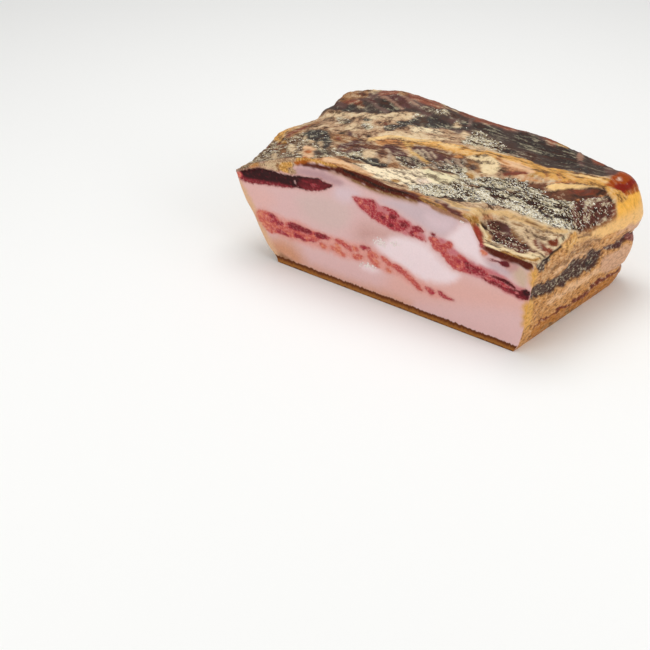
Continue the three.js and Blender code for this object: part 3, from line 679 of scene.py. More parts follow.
FLANK_MARKS = [
    ("pale_amber", "560,247 575,238 590,232 606,224 614,214 617,197 640,188 650,205 646,216 638,222 "
     "628,227 610,233 602,238 592,240 580,244 568,250"),
    ("gold_fat", "564,252 566,244 569,239 576,234 579,240 574,257 567,262"),
    ("flank_brown", "578,243 590,236 602,237 600,243 560,270 538,286 536,280"),
    ("flank_pink", "615,233 636,222 644,215 646,222 636,228 628,230 618,235"),
    ("brown_line", "580,238 587,234.5 592,233", 0.5),
    ("brown_line", "560,266 570,258", 0.45),
    ("brown_line", "579,255 590,249", 0.45),
    ("brown_line", "568,259 583,248.5 592,245", 0.4),
    ("brown_line", "552,270 557,265.5", 0.4),
    ("brown_line", "585,244 592,240.5 600,239", 0.35),
    ("pale_flank", "552,276 562,270 572,262 596,248 590,249 564,264 553,272"),
    ("dark_lean", "533,258 545,259 550,258 552,260 547,264 545,268 541,273 537,269 534,264"),
    ("dark_line", "561,247 556,253 549,258.5 541,259.5", 0.9),
    ("maroon_lean", "598,249 604,246 612,245 628,232 634,228 637,233 632,238 615,249 601,250"),
    ("flank_red", "626,236 633,231 637,238 633,243 627,241"),
    ("flank_dark", "520,292 531,289 545,282 558,274 563,270 570,264 590,251 597,248 603,248 606,250 "
     "600,258 598,262 594,268 580,276 529,303 520,303"),
    ("pale_flank", "545,300 560,292 575,282 590,274 603,265 606,268 592,279 560,297 547,305"),
    ("dark_lean", "530,293 548,286 563,277 579,266 594,257 594,263 588,268 571,276 548,289 531,297"),
    ("black_lean", "583,262 588,260 592,260 592,264 587,267 583,265"),
    ("brown_lean", "599,255 604,252 606,254 601,257"),
    ("dark_line", "554,288.5 553,291", 0.8),
    ("edge_gold", "526,271 534,268 537,272 536,283 533,289 529,290"),
    ("edge_gold", "522,303 528,300 534,300 534,308 530,322 524,334"),
    ("flank_low", "524,336 541,322 549,317 557,313 561,309 567,306 573,301 589,291 597,286 622,266 622,282 "
     "600,300 560,326 540,340"),
    ("ochre_fat", "536,331 546,325 558,319 570,309 586,300 580,305 566,314 540,333"),
    ("maroon_dark", "533,327 541,321 557,312.5 561,308.5 567,306 573,301 589,290.5 597,286 605,280 "
     "621,266", 0.55),
    ("maroon_dark", "555,310 559,308 562,308 560,311 556,313"),
    ("maroon_dark", "589,288 593,284 604,278 609,274 611,275 597,287 592,289"),
    ("maroon_dark", "572,300 584,291 588,289 585,293 573,302"),
    ("flank_pink", "600,262 610,254 622,247 632,243 634,252 624,262 612,270 602,274"),
]
CUT_MARKS = [
    ("cut_warm", "236,178 262,186 278,200 264,212 252,210 244,198"),
    ("cut_grey", "296,194 330,196 352,206 350,224 336,232 316,226 300,212"),
    ("cut_light", "336,184 360,190 358,198 345,204 333,196"),
    # Painted shade on the fat just above the brighter knife facet.
    ("cut_dusky", "360,222 376,226 396,232 410,237 396,241 380,240 366,243 352,238"),
    ("cut_low", "400,250 430,262 460,276 500,288 530,298 530,312 480,306 400,300 380,290 390,275"),
    # Painted light on the brighter facet of a second knife stroke.
    ("cut_bright", "393,236 405,237 425,243 436,256 450,270 461,275 456,281 448,284 436,283 424,281 "
     "412,275 386,256 380,249 384,242"),
    # Paler fat around torn crumbs, in this patch and the next.
    ("cut_bright", "374,241 382,240 386,246 382,250 376,247"),
    ("cut_bright", "361,266 372,264 380,268 378,272 366,271"),
    ("cut_mauve", "378,200 392,198 410,201 430,206 450,214 460,222 454,230 446,237 436,235 428,231 418,224 "
     "406,217 398,211 384,204"),
    ("cut_plum", "290,174 300,169 330,174 334,180 326,181 316,177"),
    # Painted light on the same brighter facet.
    ("cut_bright", "446,238.5 457,228 462,224.5 470,224 480,246 481,255 486,262 494,268 484,267 460,252 "
     "455,248 452,243 449,240"),
    ("cut_plum", "296,168 316,170 346,182 338,187 322,180 302,174"),
    ("cut_violet", "484,257 498,262 508,268 514,274 508,277 496,273 488,268"),
    ("cut_light", "424,212 440,216 456,222 448,232 436,230 426,222"),
    ("cut_cream", "510,262 522,266 528,272 527,288 520,287 514,278"),
    ("cut_rosy", "252,208 262,208 285,218 300,223 315,230 330,236 360,244 371,246 380,254 392,262 404,267 "
     "424,285 440,290 455,300 440,299 425,294 410,284 398,275 386,273 376,267 364,262 338,257 322,249 "
     "290,240 263,227 254,216"),
    ("cut_red", "352,196 365,198 377,201 381,207 391,210 399,216 409,221 413,225 421,228 425,235 427,242 "
     "408,235 398,232 386,227 366,213 358,206"),
    ("cut_red", "430,237 441,238 452,243 454,249 474,263 486,267 508,279 516,287 528,290 530,298 524,301 "
     "514,297 486,281 470,275 454,267 444,254 434,247"),
    ("cut_pink", "505,262 516,262 520,266 516,272 508,272"),
    ("grey_crust", "232,172 244,164 258,160 262,168 256,170 244,171.5"),
    ("tan_crust", "256,168 258,160 298,155 300,160 297,165 284,172 270,171"),
    ("gold_fat", "296,156 312,156 330,161 345,167 340,170 328,166 310,161.5 295,164"),
    ("brown_fringe", "330,171 345,176 360,184.5 370,189 384,194 416,202.5", 0.8),
    ("dried_line", "297,164.5 304,162.5 310,162.5 328,166.5 336,166.5 344,167.5 366,175 372,178.5 380,181 "
     "392,187.5 414,193 427,200 431,204 424,203 408,198.5 400,197 377,190.5 362,184.5 346,175.5 330,170.5 "
     "302,166"),
    ("dark_line", "344,170.5 360,177.5 376,185.5 384,188.5 408,193", 0.5),
    ("brown_line", "352,180 370,188.5 384,193 416,201.5", 0.4),
    ("brown_line", "366,174 372,177.5 400,188.5 414,192.5 424,197", 0.5),
    ("ochre_fat", "418,196 428,199 448,209 446,213 438,211 430,206 422,200"),
    ("dried_line", "440,203.5 446,205 459,212 463,215 461,217 455,215 441,206.5"),
    ("dried_line", "481,245 484,243.5 512,255 530,259.5 535.5,262.5 535.5,267 532,270.5 527,271 522,267 "
     "516,264 508,262.5 500,259.5 481.5,248.5"),
    # Tan and brown fat with painted shade in the lower left corner and along the foot.
    ("cut_tan", "268,240 282,238 296,246 306,262 300,270 288,262 276,258 268,250"),
    ("cut_brown", "268,252 280,252 292,260 310,274 300,274 280,266"),
    ("cut_tan", "306,270 350,290 380,299 410,306 410,303 384,292 352,282 330,274 310,265"),
    ("cut_yellow", "237,180 255,213 270,246 276,256", 1.6),
    # Fat tinted brown under the dried crust line.
    ("cut_brown", "424,197 440,206 471,221 468,224 440,213 428,206"),
    ("ochre_fat", "424,194 434,196 442,202 438,206 430,203"),
    ("ochre_fat", "461,210 480,219 484,226 474,223.5 466,219.5"),
    ("edge_gold", "529,271 538,268 538,291 532,290 529.5,286"),
    ("edge_gold", "525,303 529,301 534,301 528,330 522,324 522,310"),
    ("flank_fat", "248,168 251,164.5 255,162.5 259,163.5 258,168 252,169"),
    ("grey_crust", "234,170 240,167 248,165 249,168.5 236,173"),
    ("pale_crust", "261,166 264,162.5 270,163 276,162.5 280,163 280,172 274,171 268,169 262,168"),
    ("brown_fat", "277,165 279,168 279,171", 0.7),
    ("gold_fat", "279,163 286,162 292,162 293,168 290,173 284,173.5 280,170"),
    ("tan_crust", "287,168 292,167 297,169.5 297,174.5 290,174.5"),
    ("orange_fat", "292,162 302,160 312,160.5 297,165.5"),
]
NOISE_TABLE = 32
# Each seed has its own table and begins this much further along in it.
SEED_SHIFT = 3.7


def lumps(points, size, seed):
    """Smooth random lumps from -1 to 1, of the size given in mm along each axis."""
    table = np.random.default_rng(seed).uniform(-1, 1, (NOISE_TABLE,) * 3)
    q = points / np.asarray(size, float) + seed * SEED_SHIFT
    cell = np.floor(q).astype(int)
    f = q - cell
    f = f * f * (3 - 2 * f)
    total = np.zeros(len(points))
    for corner in itertools.product((0, 1), repeat=3):
        weight = np.prod(np.where(corner, f, 1 - f), axis=1)
        total += weight * table[tuple(((cell + corner) % NOISE_TABLE).T)]
    return total


def lumpy(points, *layers):
    """Lumps on lumps. Each layer has its height, its size in mm along each axis, and its seed."""
    return sum(height * lumps(points, size, seed) for height, size, seed in layers)


# How many mm one picture pixel covers on each side of the block, across and down.
TOP_PIXEL = (0.42, 0.88)
FLANK_PIXEL = (0.83, 0.50)
CUT_PIXEL = (0.46, 0.46)
view_across, view_up, view_back = np.array(camera.rotation_euler.to_matrix()).T


def seen_at(points):
    """Where points of the block stand in the view, in picture pixels: across and down."""
    from_camera = (points + offset) * MM - np.array(camera.location)
    scale = PICTURE_SIDE * LENS_TO_SENSOR / -(from_camera @ view_back)
    middle = PICTURE_SIDE / 2
    return middle + scale * (from_camera @ view_across), middle - scale * (from_camera @ view_up)


def inside_outline(a, b, corners):
    """How far inside a closed outline points lie. Its corners are cut off once, so it runs smoothly."""
    following = np.roll(corners, -1, axis=0)
    corners = np.stack([corners * 0.75 + following * 0.25, corners * 0.25 + following * 0.75], axis=1)
    corners = corners.reshape(-1, 2)
    nearest = np.full(len(a), np.inf)
    inside = np.zeros(len(a), bool)
    for (a1, b1), (a2, b2) in zip(corners, np.roll(corners, -1, axis=0)):
        if (a1, b1) == (a2, b2):
            continue
        nearest = np.minimum(nearest, to_line(a, b, a1, b1, a2, b2))
        if b1 != b2:
            crossing = (b1 > b) != (b2 > b)
            inside ^= crossing & (a < a1 + (b - b1) / (b2 - b1) * (a2 - a1))
    return np.where(inside, nearest, -nearest)


def inside_line(a, b, corners, half):
    """How far inside a thin line of a half width points lie."""
    return half - np.minimum.reduce([to_line(a, b, *p, *q) for p, q in zip(corners[:-1], corners[1:])])


# Further out than this, in mm, a mark has no reach.
MARK_MARGIN = 4


def inside_mark(a, b, text, pixel, half=0):
    """Points near a mark, and how far inside it they lie, in mm."""
    corners = np.array([pair.split(",") for pair in text.split()], float) * pixel
    low = corners.min(axis=0) - MARK_MARGIN - half
    high = corners.max(axis=0) + MARK_MARGIN + half
    near = np.flatnonzero((a > low[0]) & (a < high[0]) & (b > low[1]) & (b < high[1]))
    if half:
        return near, inside_line(a[near], b[near], corners, half)
    return near, inside_outline(a[near], b[near], corners)


finish_values = {
    name: np.array(linear(shade)[:3] + list(rest)) for name, (shade, *rest) in FINISHES.items()
}


def paint(where_seen, pixel, base, marks, fray):
    """Finishes laid over each other on one side of the block."""
    a, b = where_seen[0] * pixel[0], where_seen[1] * pixel[1]
    coat = np.tile(finish_values[base], (len(a), 1))
    for name, text, *half in marks:
        finish = finish_values[name]
        softness, frayed = finish[-2:]
        near, depth = inside_mark(a, b, text, pixel, *half)
        share = rise(-softness, softness, depth + frayed * fray[near])[:, None]
        coat[near] += share * (finish - coat[near])
    return coat


# The run of the drawn strands: they bend along the gold seam, given here by its Y over X. On the
# straightened grain it lies at one Y all along.
SEAM = [[-24, 30], [22, 32], [42, 40], [60, 50], [90, 57], [130, 70]]
SEAM_REACH = 16
SEAM_LEVEL = 45
seam_y = follow(SEAM, x)
bent_y = y - (seam_y - SEAM_LEVEL) * np.exp(-((y - seam_y) / SEAM_REACH) ** 2)
# Left of this X the strands grow shorter, down to a third.
SHORT_STRANDS = 30
SHORTER_OVER = 12
grain_x = x - 2 * SHORTER_OVER * np.log1p(np.exp((SHORT_STRANDS - x) / SHORTER_OVER))
grain_places = np.stack([grain_x, bent_y, z], axis=1)
fray = lumpy(grain_places, (0.7, (6, 1.5, 3), 13)) + lumpy(places, (0.6, (1.8, 1.6, 1.8), 14))
side_fray = lumpy(places, (0.7, (2, 4, 2), 15), (0.6, (1.6, 1.6, 1.6), 16))
# Edges wander, more along the strands than across them, but not on the cut and its edge.
STRAIGHT_FRONT_EDGE = 1.5
wander = np.stack([
    lumpy(places, (1.1, (9, 5, 9), 31), (0.7, (3, 2, 3), 33)),
    lumpy(places, (0.6, (9, 5, 6), 32), (0.35, (3, 2, 2.4), 34)),
    lumpy(places, (0.5, (6, 6, 6), 35), (0.3, (2.4, 2.4, 2.4), 36)),
], axis=1)
on_cut = on_front & ~on_top
seen = seen_at(places + wander * (y > STRAIGHT_FRONT_EDGE)[:, None])
top_coat = paint(seen, TOP_PIXEL, "tan_crust", TOP_MARKS, fray)
flank_coat = paint(seen, FLANK_PIXEL, "flank_fat", FLANK_MARKS, side_fray)
# The back can't be seen. It is cured like the flank, so the flank's marks run on round the corner along
# it, mirrored and drawn out.
BACK_FOR_FLANK = 0.56
from_corner = np.clip(1 - (TOP_RIGHT - x) * BACK_FOR_FLANK / DEPTH, 0, 1)
on_the_flank = block_points(np.ones_like(x), from_corner, box_points[:, 2])
seen_on_flank = seen_at(np.stack(on_the_flank, axis=1) + wander)
back_coat = paint(seen_on_flank, FLANK_PIXEL, "flank_fat", FLANK_MARKS, side_fray)
cut_coat = paint(seen, CUT_PIXEL, "cut_fat", CUT_MARKS, side_fray)
# The flank begins where the shoulder has turned down.
FLANK_BEGINS = (0.6, 1.0)
FLANK_LEFT = 110
turned_down = (top_height(x, y) - z) / follow(SHOULDER, y)
flank_share = rise(*FLANK_BEGINS, turned_down) * (x > FLANK_LEFT) * ~on_front
coat = top_coat + flank_share[:, None] * (flank_coat - top_coat)
coat += back_share[:, None] * (back_coat - coat)
coat = np.where(on_cut[:, None], cut_coat, coat)
coat_colour = coat[:, :3]
contrast, specks, roughness, fibre_mm, crumb_mm, lift_mm, *_ = coat[:, 3:].T

strands = lumpy(grain_places, (1, (12, 1.9, 6), 21), (0.6, (7, 1.2, 5), 22))
side_strands = lumps(places, (2.4, 12, 1.7), 23)
strands = strands + flank_share * (side_strands - strands)
crumbs = lumpy(places, (1, (1.5, 1.3, 1.3), 26), (0.5, (3, 2.6, 2.6), 24))
relief = lumpy(places, (0.35, (24, 9, 9), 25)) + strands * fibre_mm + crumbs * crumb_mm + lift_mm
# Low swells and dips of the top: X and Y of the middle, half widths along X and Y, height.
SWELLS = [(-20, 21, 9, 9, -1.6), (-18, 58, 9, 7, 1.7), (84, 82, 44, 9, 2.1), (128, 83, 8, 9, 2.0)]
SWELL_FOOT = (8, 20)
for swell_x, swell_y, half_x, half_y, height in SWELLS:
    swell = height * hump(0, 1, np.hypot((x - swell_x) / half_x, (y - swell_y) / half_y))
    relief += swell * rise(*SWELL_FOOT, z)

# Block of cured belly: what shows on the cut
# Lean runs through the fat in bands of dark red lumps, parted by pale flecks. The bands are the belly's
# muscle layers, cut across.
# Outlines of the lean, each with its shade: 0 nearly black, 0.35 maroon, 0.6 crimson, 0.8 salmon, 1 orange.
LEAN_MARKS = [
    (0.1, "236,173 240,171 256,167.5 263,168 272,170.5 282,174 292,175.5 302,176 312,178 320,178 323,181 "
     "327,183.5 333,184.5 331,187.5 321,191 314,191.5 308,191 300,188.5 294,187.5 286,188 268,185 "
     "258,184.5 250,183 243,181 238.5,178.5"),
    (0.58, "352,195.5 358,197.5 364,198.5 370,200 374,199.5 377,208 377,211.5 380,211.5 384,213 386,216 "
     "390,214 388,211.5 384,209 381,206 388,207.5 394,210 399,214 400,217 397,219 400,220.5 404,219.5 "
     "408,221.5 410,225 409,228.5 405,230.5 400,231.5 395,230.5 389,228.5 384,225 372,219 370,215.5 "
     "361,208.5 354,200"),
    (0.48, "412,225.5 418,226 423,229 424.5,233 421,232.5 417,233.5 414,237 409,235.5 407.5,232 411,231"),
    (0.62, "415,235 421,236.5 427,242 423,241 417,238"),
    (0.34, "430,233 435,233.5 437.5,236.5 434,237 430.5,234.5"),
    (0.7, "428,238 431,236 435,237 438,238.5 439,242 442,244 446,243 449,241 452,243 453.5,247 450,249.5 "
     "446,249.5 447,253 451,256.5 452,254.5 456,257 458,254.5 462,256 466,259 474,266.5 480,267.5 "
     "485,270.5 489,273.5 487,275.5 483,276.5 476,275 468,273.5 460,271.5 454,269 448,264 440,252.5 "
     "436,251.5 432,247.5 430,242"),
    (0.28, "488,275 494,275.5 504,278.5 509,281.5 513,285 516.5,289 513,288.5 509,285 504,282.5 499,281.5"),
    (0.4, "481,276 488,278.5 495,280 500,284 506,286 516,291 513,294.5 505,291.5 498,287 490,283.5 "
     "483,279.5"),
    (0.58, "486,275 498,279 504,283 514,291 511,292 505,289 499,284.5 492,282 484,278"),
    (0.26, "511,288.5 517,291 525,289.5 529.5,291 530,295 528.5,300.5 523,300 517,297.5 512,293"),
    (0.8, "257,211 260,209.5 270,212.5 275,215 278,219 282,221.5 283.5,224 287,222 292,222 298,224.5 "
     "305,228 316,232 322,233 328,236 331.5,238.5 328,240.5 322,239.5 318,241 315,243 311,241.5 306,242 "
     "300,239.5 294,238 290,237.5 285,236 280,233.5 275,233 271,233.5 266,229 262,224.5 255.5,213.5"),
    (0.87, "319,242.5 324,243.5 328.5,247 326,249.5 321,247.5"),
    (0.87, "329,246.5 334,245.5 343,252 346.5,255.5 343,257.5 335,250.5 331,249.5"),
    (0.72, "333,239.5 338,238.5 343,240.5 353,248.5 351,252.5 347,249"),
    (0.95, "334,243 340,244.5 341.5,250 335.5,249.5"),
    (0.84, "352,245.5 357,247.5 359.5,251 355,252.5 352.5,249"),
    (0.81, "351.5,254 356,253.5 364.5,256 362.5,259 358,260.5 353.5,258.5"),
    (0.52, "359.5,245 365,246 370.5,247.5 369,250 363,250 360,248"),
    (0.82, "366,252.5 370,250.5 374,252.5 378,255.5 379.5,258.5 375,258 372.5,259.5 381,267 377,268 "
     "372,263"),
    (0.97, "370,256 374,257 378,261 380,264 376,262 371.5,258.5"),
    (0.79, "380,255.5 384,256 391.5,263 393.5,266 391,268 387,264 382,260"),
    (0.86, "385.5,266.5 389,268 392.5,271.5 390,273.5 387,271"),
    (0.74, "391,263.5 395,263.5 399,265.5 403,269.5 408,273 422.5,288.5 422.5,292.5 418,290.5 408,279.5 "
     "392,266.5"),
    (0.62, "423.5,285.5 429,287 433,290.5 435.5,293.5 432,295.5 427,292"),
    (0.54, "436.5,290.5 442,291.5 444.5,295.5 457,300.5 448,300 441,296.5"),
    (0.3, "487,258 499,261 503,261 508,262 510,266 507.5,268.5 503,266 498,263 491,260.5"),
    (0.5, "472.5,224.5 477,226.5 480.5,229.5 484.5,242 483.5,247 480,248.5 480,244 478,238"),
    (0.92, "480.5,247.5 483,250 488.5,254 484,256.5 481,254"),
]
# Stretches of the lean that are darker or lighter: shade, outline, softness in mm.
SHADE_MARKS = [
    (0.4, "239,175.5 250,178.5 300,187 300,194 280,192 262,189 246,185 238,181", 1),
    (0.9, "232,170 239,171 243,175 240,178 235,176", 0.6),
    (0.27, "299,178 312,178.5 322,179.5 334,184 328,190 318,192 306,190 297,186", 1.2),
    (0.38, "299,184.5 316,189 324,187 322,192 312,193 304,190", 0.8),
    (0.42, "310,183 318,184.5 318,188 310,187", 0.4),
    (0.78, "357,199.5 363,200 363,204 358,204", 0.4),
    (0.8, "365,205 369,205.5 369,209 365.5,209", 0.4),
    (0.44, "369,199 376,199 378,207 374,204", 0.4),
    (0.4, "380.5,214.5 385,216 385,219.5 381,219", 0.5),
    (0.86, "385.5,213 388.5,213.5 388,219.5 385.5,219", 0.3),
    (0.38, "389,214 395,214 398,218 392,220 389,218", 0.6),
    (0.64, "394.5,222.5 397.5,222 398.5,227.5 395,227", 0.3),
    (0.38, "389,223 393.5,224 394,228 389,227", 0.5),
    (0.4, "400,222 406,222.5 408,227 403,228 400,226", 0.5),
    (0.56, "405,220 408,221.5 409,225", 0.4),
    (0.84, "412,232.5 416,232 420,233 417,235.5", 0.3),
    (0.46, "464,260 480,268 488,274 482,277 472,274.5 464,270 464,265", 0.5),
    (0.38, "464,261 468,264 470,270 466,268.5", 0.5),
    (0.84, "456,265 462,265.5 463,268 457,268", 0.4),
    (0.6, "456,258 462,260 461,264 456,263", 0.4),
    (0.84, "432,237 437,238.5 436,241.5 432,241", 0.4),
    (0.82, "484,276.5 490,278.5 492,281 486,279.5", 0.3),
    (0.2, "501,277 508,281 514,287 509,285.5 502,282", 0.4),
    (0.36, "505,287 511,289 511,293 506,291", 0.4),
    (0.1, "522,288 534,286 536,296 528,297 523,294", 0.8),
    (0.34, "514,294 527,299 526,302 517,299", 0.6),
    (0.8, "513.5,291.5 518,292.5 519,294.5 514.5,294", 0.3),
    (0.88, "253,210 260,209 263,213 264,220 268,227 267,231 261,226 256,217", 0.8),
    (0.48, "267,211.5 275,214.5 277,218.5 270,218", 0.5),
    (0.58, "269,219.5 275,218.5 279,221 274,222.5 270,222.5", 0.5),
    (0.46, "276,221 283,221.5 283.5,225 277,226", 0.5),
    (0.4, "287,222 295,223 304,227 312,229.5 312,234.5 304,233.5 297,230.5 289,229", 0.5),
    (0.4, "313,231.5 322,232.5 331,237.5 326,240 316,238.5", 0.5),
    (0.52, "275.5,228.5 283,230.5 290,236.5 285,236.5 278,233", 0.4),
    (0.5, "292.5,231.5 299,234.5 307,240.5 303,242.5 296,239", 0.4),
    (0.52, "308,239.5 315,240.5 318,243.5 311,242.5", 0.4),
    (0.86, "404.5,275 408,276.5 412,280 409,280", 0.4),
    (0.84, "477,228 480,231 480,235 478,233", 0.3),
    (0.26, "480.5,229.5 483,236 484.5,244 482.5,242 481,235", 0.4),
    (0.3, "504,264 509,264.5 508,268.5 504,266.5", 0.4),
]
# Flecks of fat in the lean, each with its half width in mm.
PALE_FLECKS = [
    ("294.5,181 295,183.5", 0.35),
    ("378.5,205 379,210.5", 0.9),
    ("412.5,229.5 411,227", 0.4),
    ("410.5,224.5 410.5,230", 0.7),
    ("427,236.5 428.5,233", 0.9),
    ("439.5,239.5 442,242.5", 1.2),
    ("447.5,250.5 449,253.5", 0.7),
    ("484.5,277 488,279", 0.5),
    ("494.5,279 501,283", 0.35),
    ("515,291.5 517.5,293", 0.8),
    ("285,220.5 285,224.5", 0.9),
    ("418.5,233 422,233.5", 0.7),
    ("385,209.5 386,212", 0.4),
    ("400.5,217 401.5,220", 0.5),
    ("452.5,255 453.5,257", 0.3),
]
a, b = seen[0] * CUT_PIXEL[0], seen[1] * CUT_PIXEL[1]
FAR_OUT = -9
MIDDLING_SHADE = 0.5
lean = np.full_like(x, FAR_OUT)
shade = np.full_like(x, MIDDLING_SHADE)
for mark_shade, text in LEAN_MARKS:
    near, depth = inside_mark(a, b, text, CUT_PIXEL)
    shade[near] = np.where(depth > lean[near], mark_shade, shade[near])
    lean[near] = np.maximum(lean[near], depth)
for mark_shade, text, softness in SHADE_MARKS:
    near, depth = inside_mark(a, b, text, CUT_PIXEL)
    shade[near] += rise(-softness, softness, depth) * (mark_shade - shade[near])
for text, half in PALE_FLECKS:
    near, depth = inside_mark(a, b, text, CUT_PIXEL, half * CUT_PIXEL[0])
    lean[near] = np.minimum(lean[near], -depth)

# The left end is an older cut, dried and browned, with the same bands and a third just under the top.
# Each band: its heights from front to back, and its half width.
END_BANDS = [
    ([[0, 19.4], [20, 21.5], [45, 18], [70, 21], [90, 20]], 2.5),
    ([[0, 37], [14, 39], [30, 41.5], [48, 40], [66, 44], [90, 42]], 2.3),
]
END_TOP_BAND_DEPTH = 2.6
END_TOP_BAND_HALF = 1.8
END_CRUST_DEPTH = 1.8
END_CRUST_FADE = (0.2, 1.2)
END_SHADE = 0.2
LOWER_BAND_LIGHTER = 0.1
BANDS_PART_AT = 30
END_BROWN = "#b58a62"
END_TAN = "#dab48c"
END_CONTRAST = 0.4
is_left = on_left & ~on_front
end_drift = lumpy(places, (1.8, (18, 12, 14), 12), (0.8, (5, 5, 4), 17))
end_breaks = lumpy(places, (2.2, (9, 7, 6), 18), (1.0, (3, 3, 2), 19))
end_depth = top_height(x, y) - z
end_lean = [half - np.abs(z - follow(stops, y) + end_drift) for stops, half in END_BANDS]
end_lean.append(END_TOP_BAND_HALF - np.abs(end_depth - END_TOP_BAND_DEPTH) + 0.5 * end_drift)
end_lean = np.maximum.reduce(end_lean) - np.maximum(end_breaks, 0)
lean = np.where(is_left, end_lean, lean)
end_shade = END_SHADE + LOWER_BAND_LIGHTER * (z < BANDS_PART_AT) + lumpy(places, (0.08, (6, 5, 4), 37))
shade = np.where(is_left, end_shade, shade)
end_cloud = lumpy(places, (1, (9, 14, 7), 38), (0.4, (3, 4, 3), 39))
end_tone = 0.5 + 0.5 * np.clip(end_cloud, -1, 1)
brown_end, tan_end = np.array([linear(END_BROWN), linear(END_TAN)])[:, :3]
end_colour = brown_end + end_tone[:, None] * (tan_end - brown_end)
coat_colour = np.where(is_left[:, None], end_colour, coat_colour)
crusty_end = rise(*END_CRUST_FADE, END_CRUST_DEPTH - end_depth)[:, None] * is_left[:, None]
coat_colour = coat_colour + crusty_end * (top_coat[:, :3] - coat_colour)
contrast = np.where(is_left, END_CONTRAST, contrast)

number_fields = {"lean": lean, "shade": shade, "height": z, "side": flank_share}
for name, values in number_fields.items():
    layer = slab_mesh.attributes.new(name, "FLOAT", "POINT")
    layer.data.foreach_set("value", values.astype(np.float32))
vector_fields = {
    "coat_colour": coat_colour,
    "coat_look": np.stack([contrast, specks, roughness], axis=1),
    "grain": grain_places * MM,
}
for name, values in vector_fields.items():
    layer = slab_mesh.attributes.new(name, "FLOAT_VECTOR", "POINT")
    layer.data.foreach_set("vector", values.astype(np.float32).ravel())

# Relief of the two cut ends, in mm. Lean dries faster than fat, so it lies a little lower. The foot of
# the block stays flat.
LEAN_LOWER = 0.12
END_LEAN_LOWER = 0.3
FLAT_FOOT = 3
cut_relief = lumpy(places, (0.12, (9, 9, 4), 27)) - LEAN_LOWER * rise(-0.5, 0.5, lean)
cut_relief += crumbs * crumb_mm
end_relief = lumpy(places, (0.3, (9, 9, 6), 28)) + 0.12 * crumbs
end_relief -= END_LEAN_LOWER * rise(-0.5, 0.8, end_lean)
relief = np.where(on_front, cut_relief, relief)
relief = np.where(on_front & on_top, 0.35 * crumbs + 0.2 * strands, relief)
relief = np.where(is_left & ~on_top, end_relief, relief)
relief = relief * rise(0, FLAT_FOOT, z)
places = places + offset + outward * relief[:, None]
places[:, 2] = np.maximum(places[:, 2], 0)
slab_mesh.vertices.foreach_set("co", (places * MM).ravel())
slab_mesh.update()
slab = bpy.data.objects.new("slab_meat", slab_mesh)
scene.collection.objects.link(slab)

# Block of cured belly: the fresh cut's look
# Moist, waxy fat, pale and faintly rosy, with a soft and not a glassy shine, because it scatters light
# below its surface. Deep red lean, broken into lumps by seams of fat. Its real fibres of under 0.1 mm are
# drawn as lumps of 1.3 mm, so that they show.
MEAT_IOR = 1.45
# Ramps of the lean by its shade, and of the rind's edge by its height, whose dark foot is partly painted
# shadow.
LEAN_RAMP = [
    (0, "#1e0706"), (0.15, "#380c10"), (0.35, "#701a22"), (0.6, "#a8323e"), (0.8, "#c65f52"), (1, "#dc8a68")]
RIND_EDGE_AND_FOOT_SHADOW_RAMP = [
    (0.2, "#56260c"), (0.4, "#a66e32"), (0.58, "#925824"), (0.78, "#602e0e"), (0.98, "#6c381a")]
RIND_EDGE_PER_MM = 0.23
RIND_EDGE_TOP = (4.4, 4.0)
LEAN_EDGE_MM = 1.8
LEAN_LUMP_MM = 1.3
LUMP_SEAM_MM = 2.2
FAT_WEB_MM = 0.8
FAT_CLOUD_MM = 9
FAT_GRAIN_MM = 0.8
RIND_TOOTH_MM = 0.9
KNIFE_MARK_MM = 2.2


def plug(tree, node, inputs):
    """Fills inputs of a node: another node's output is linked, and a plain value is set."""
    for socket, value in inputs.items():
        if isinstance(value, bpy.types.NodeSocket):
            tree.links.new(value, node.inputs[socket])
        else:
            node.inputs[socket].default_value = value


def add(tree, kind, inputs=(), out=0, stops=(), **settings):
    """Adds a node, sets it and its inputs, and returns an output. Stops are a colour ramp's, in order."""
    made = tree.nodes.new("ShaderNode" + kind)
    for name, value in settings.items():
        setattr(made, name, value)
    for i, (place, colour) in enumerate(stops):
        ramp = made.color_ramp.elements
        stop = ramp[i] if i < 2 else ramp.new(place)
        stop.position = place
        stop.color = linear(colour)
    plug(tree, made, inputs if isinstance(inputs, dict) else dict(enumerate(inputs)))
    return made.outputs[out]


def start_material(name):
    """A new material with the IOR of fat and dried meat: itself, its nodes and its shader."""
    material = bpy.data.materials.new(name)
    material.use_nodes = True
    shader = material.node_tree.nodes["Principled BSDF"]
    shader.inputs["IOR"].default_value = MEAT_IOR
    return material, material.node_tree, shader


def per_mm(size):
    """The scale of a pattern whose marks are this many mm across."""
    return 1 / (size * MM)


def mottling(tree, vector, size, detail=3.0, rough=0.55, stretch=(1, 1, 1)):
    """Soft mottling of a size in mm, drawn out along the axes whose stretch is below 1."""
    at = add(tree, "Mapping", {0: vector, 3: stretch})
    return add(tree, "TexNoise", {0: at, 2: per_mm(size), 3: detail, 4: rough})


def summed(tree, total, *patterns):
    """A number or pattern with others added to it, each times its own weight."""
    for pattern, weight in patterns:
        total = add(tree, "Math", (pattern, weight, total), operation="MULTIPLY_ADD")
    return total


def swinging(tree, *patterns):
    """Patterns from 0 to 1 summed, each swinging about 0 with its own weight."""
    return summed(tree, -sum(weight for _, weight in patterns) / 2, *patterns)


def where(tree, strength, *ranges):
    """A share that reaches its strength where every pattern has passed from its low to its high."""
    for pattern, low, high in ranges:
        passed = add(tree, "MapRange", (pattern, low, high), interpolation_type="SMOOTHSTEP")
        strength = add(tree, "Math", (passed, strength), operation="MULTIPLY")
    return strength


def layered(tree, colour, *coats):
    """A colour with others laid over it in turn, each by its share."""
    for share, coat in coats:
        colour = add(tree, "Mix", {0: share, 6: colour, 7: coat}, out=2, data_type="RGBA")
    return colour


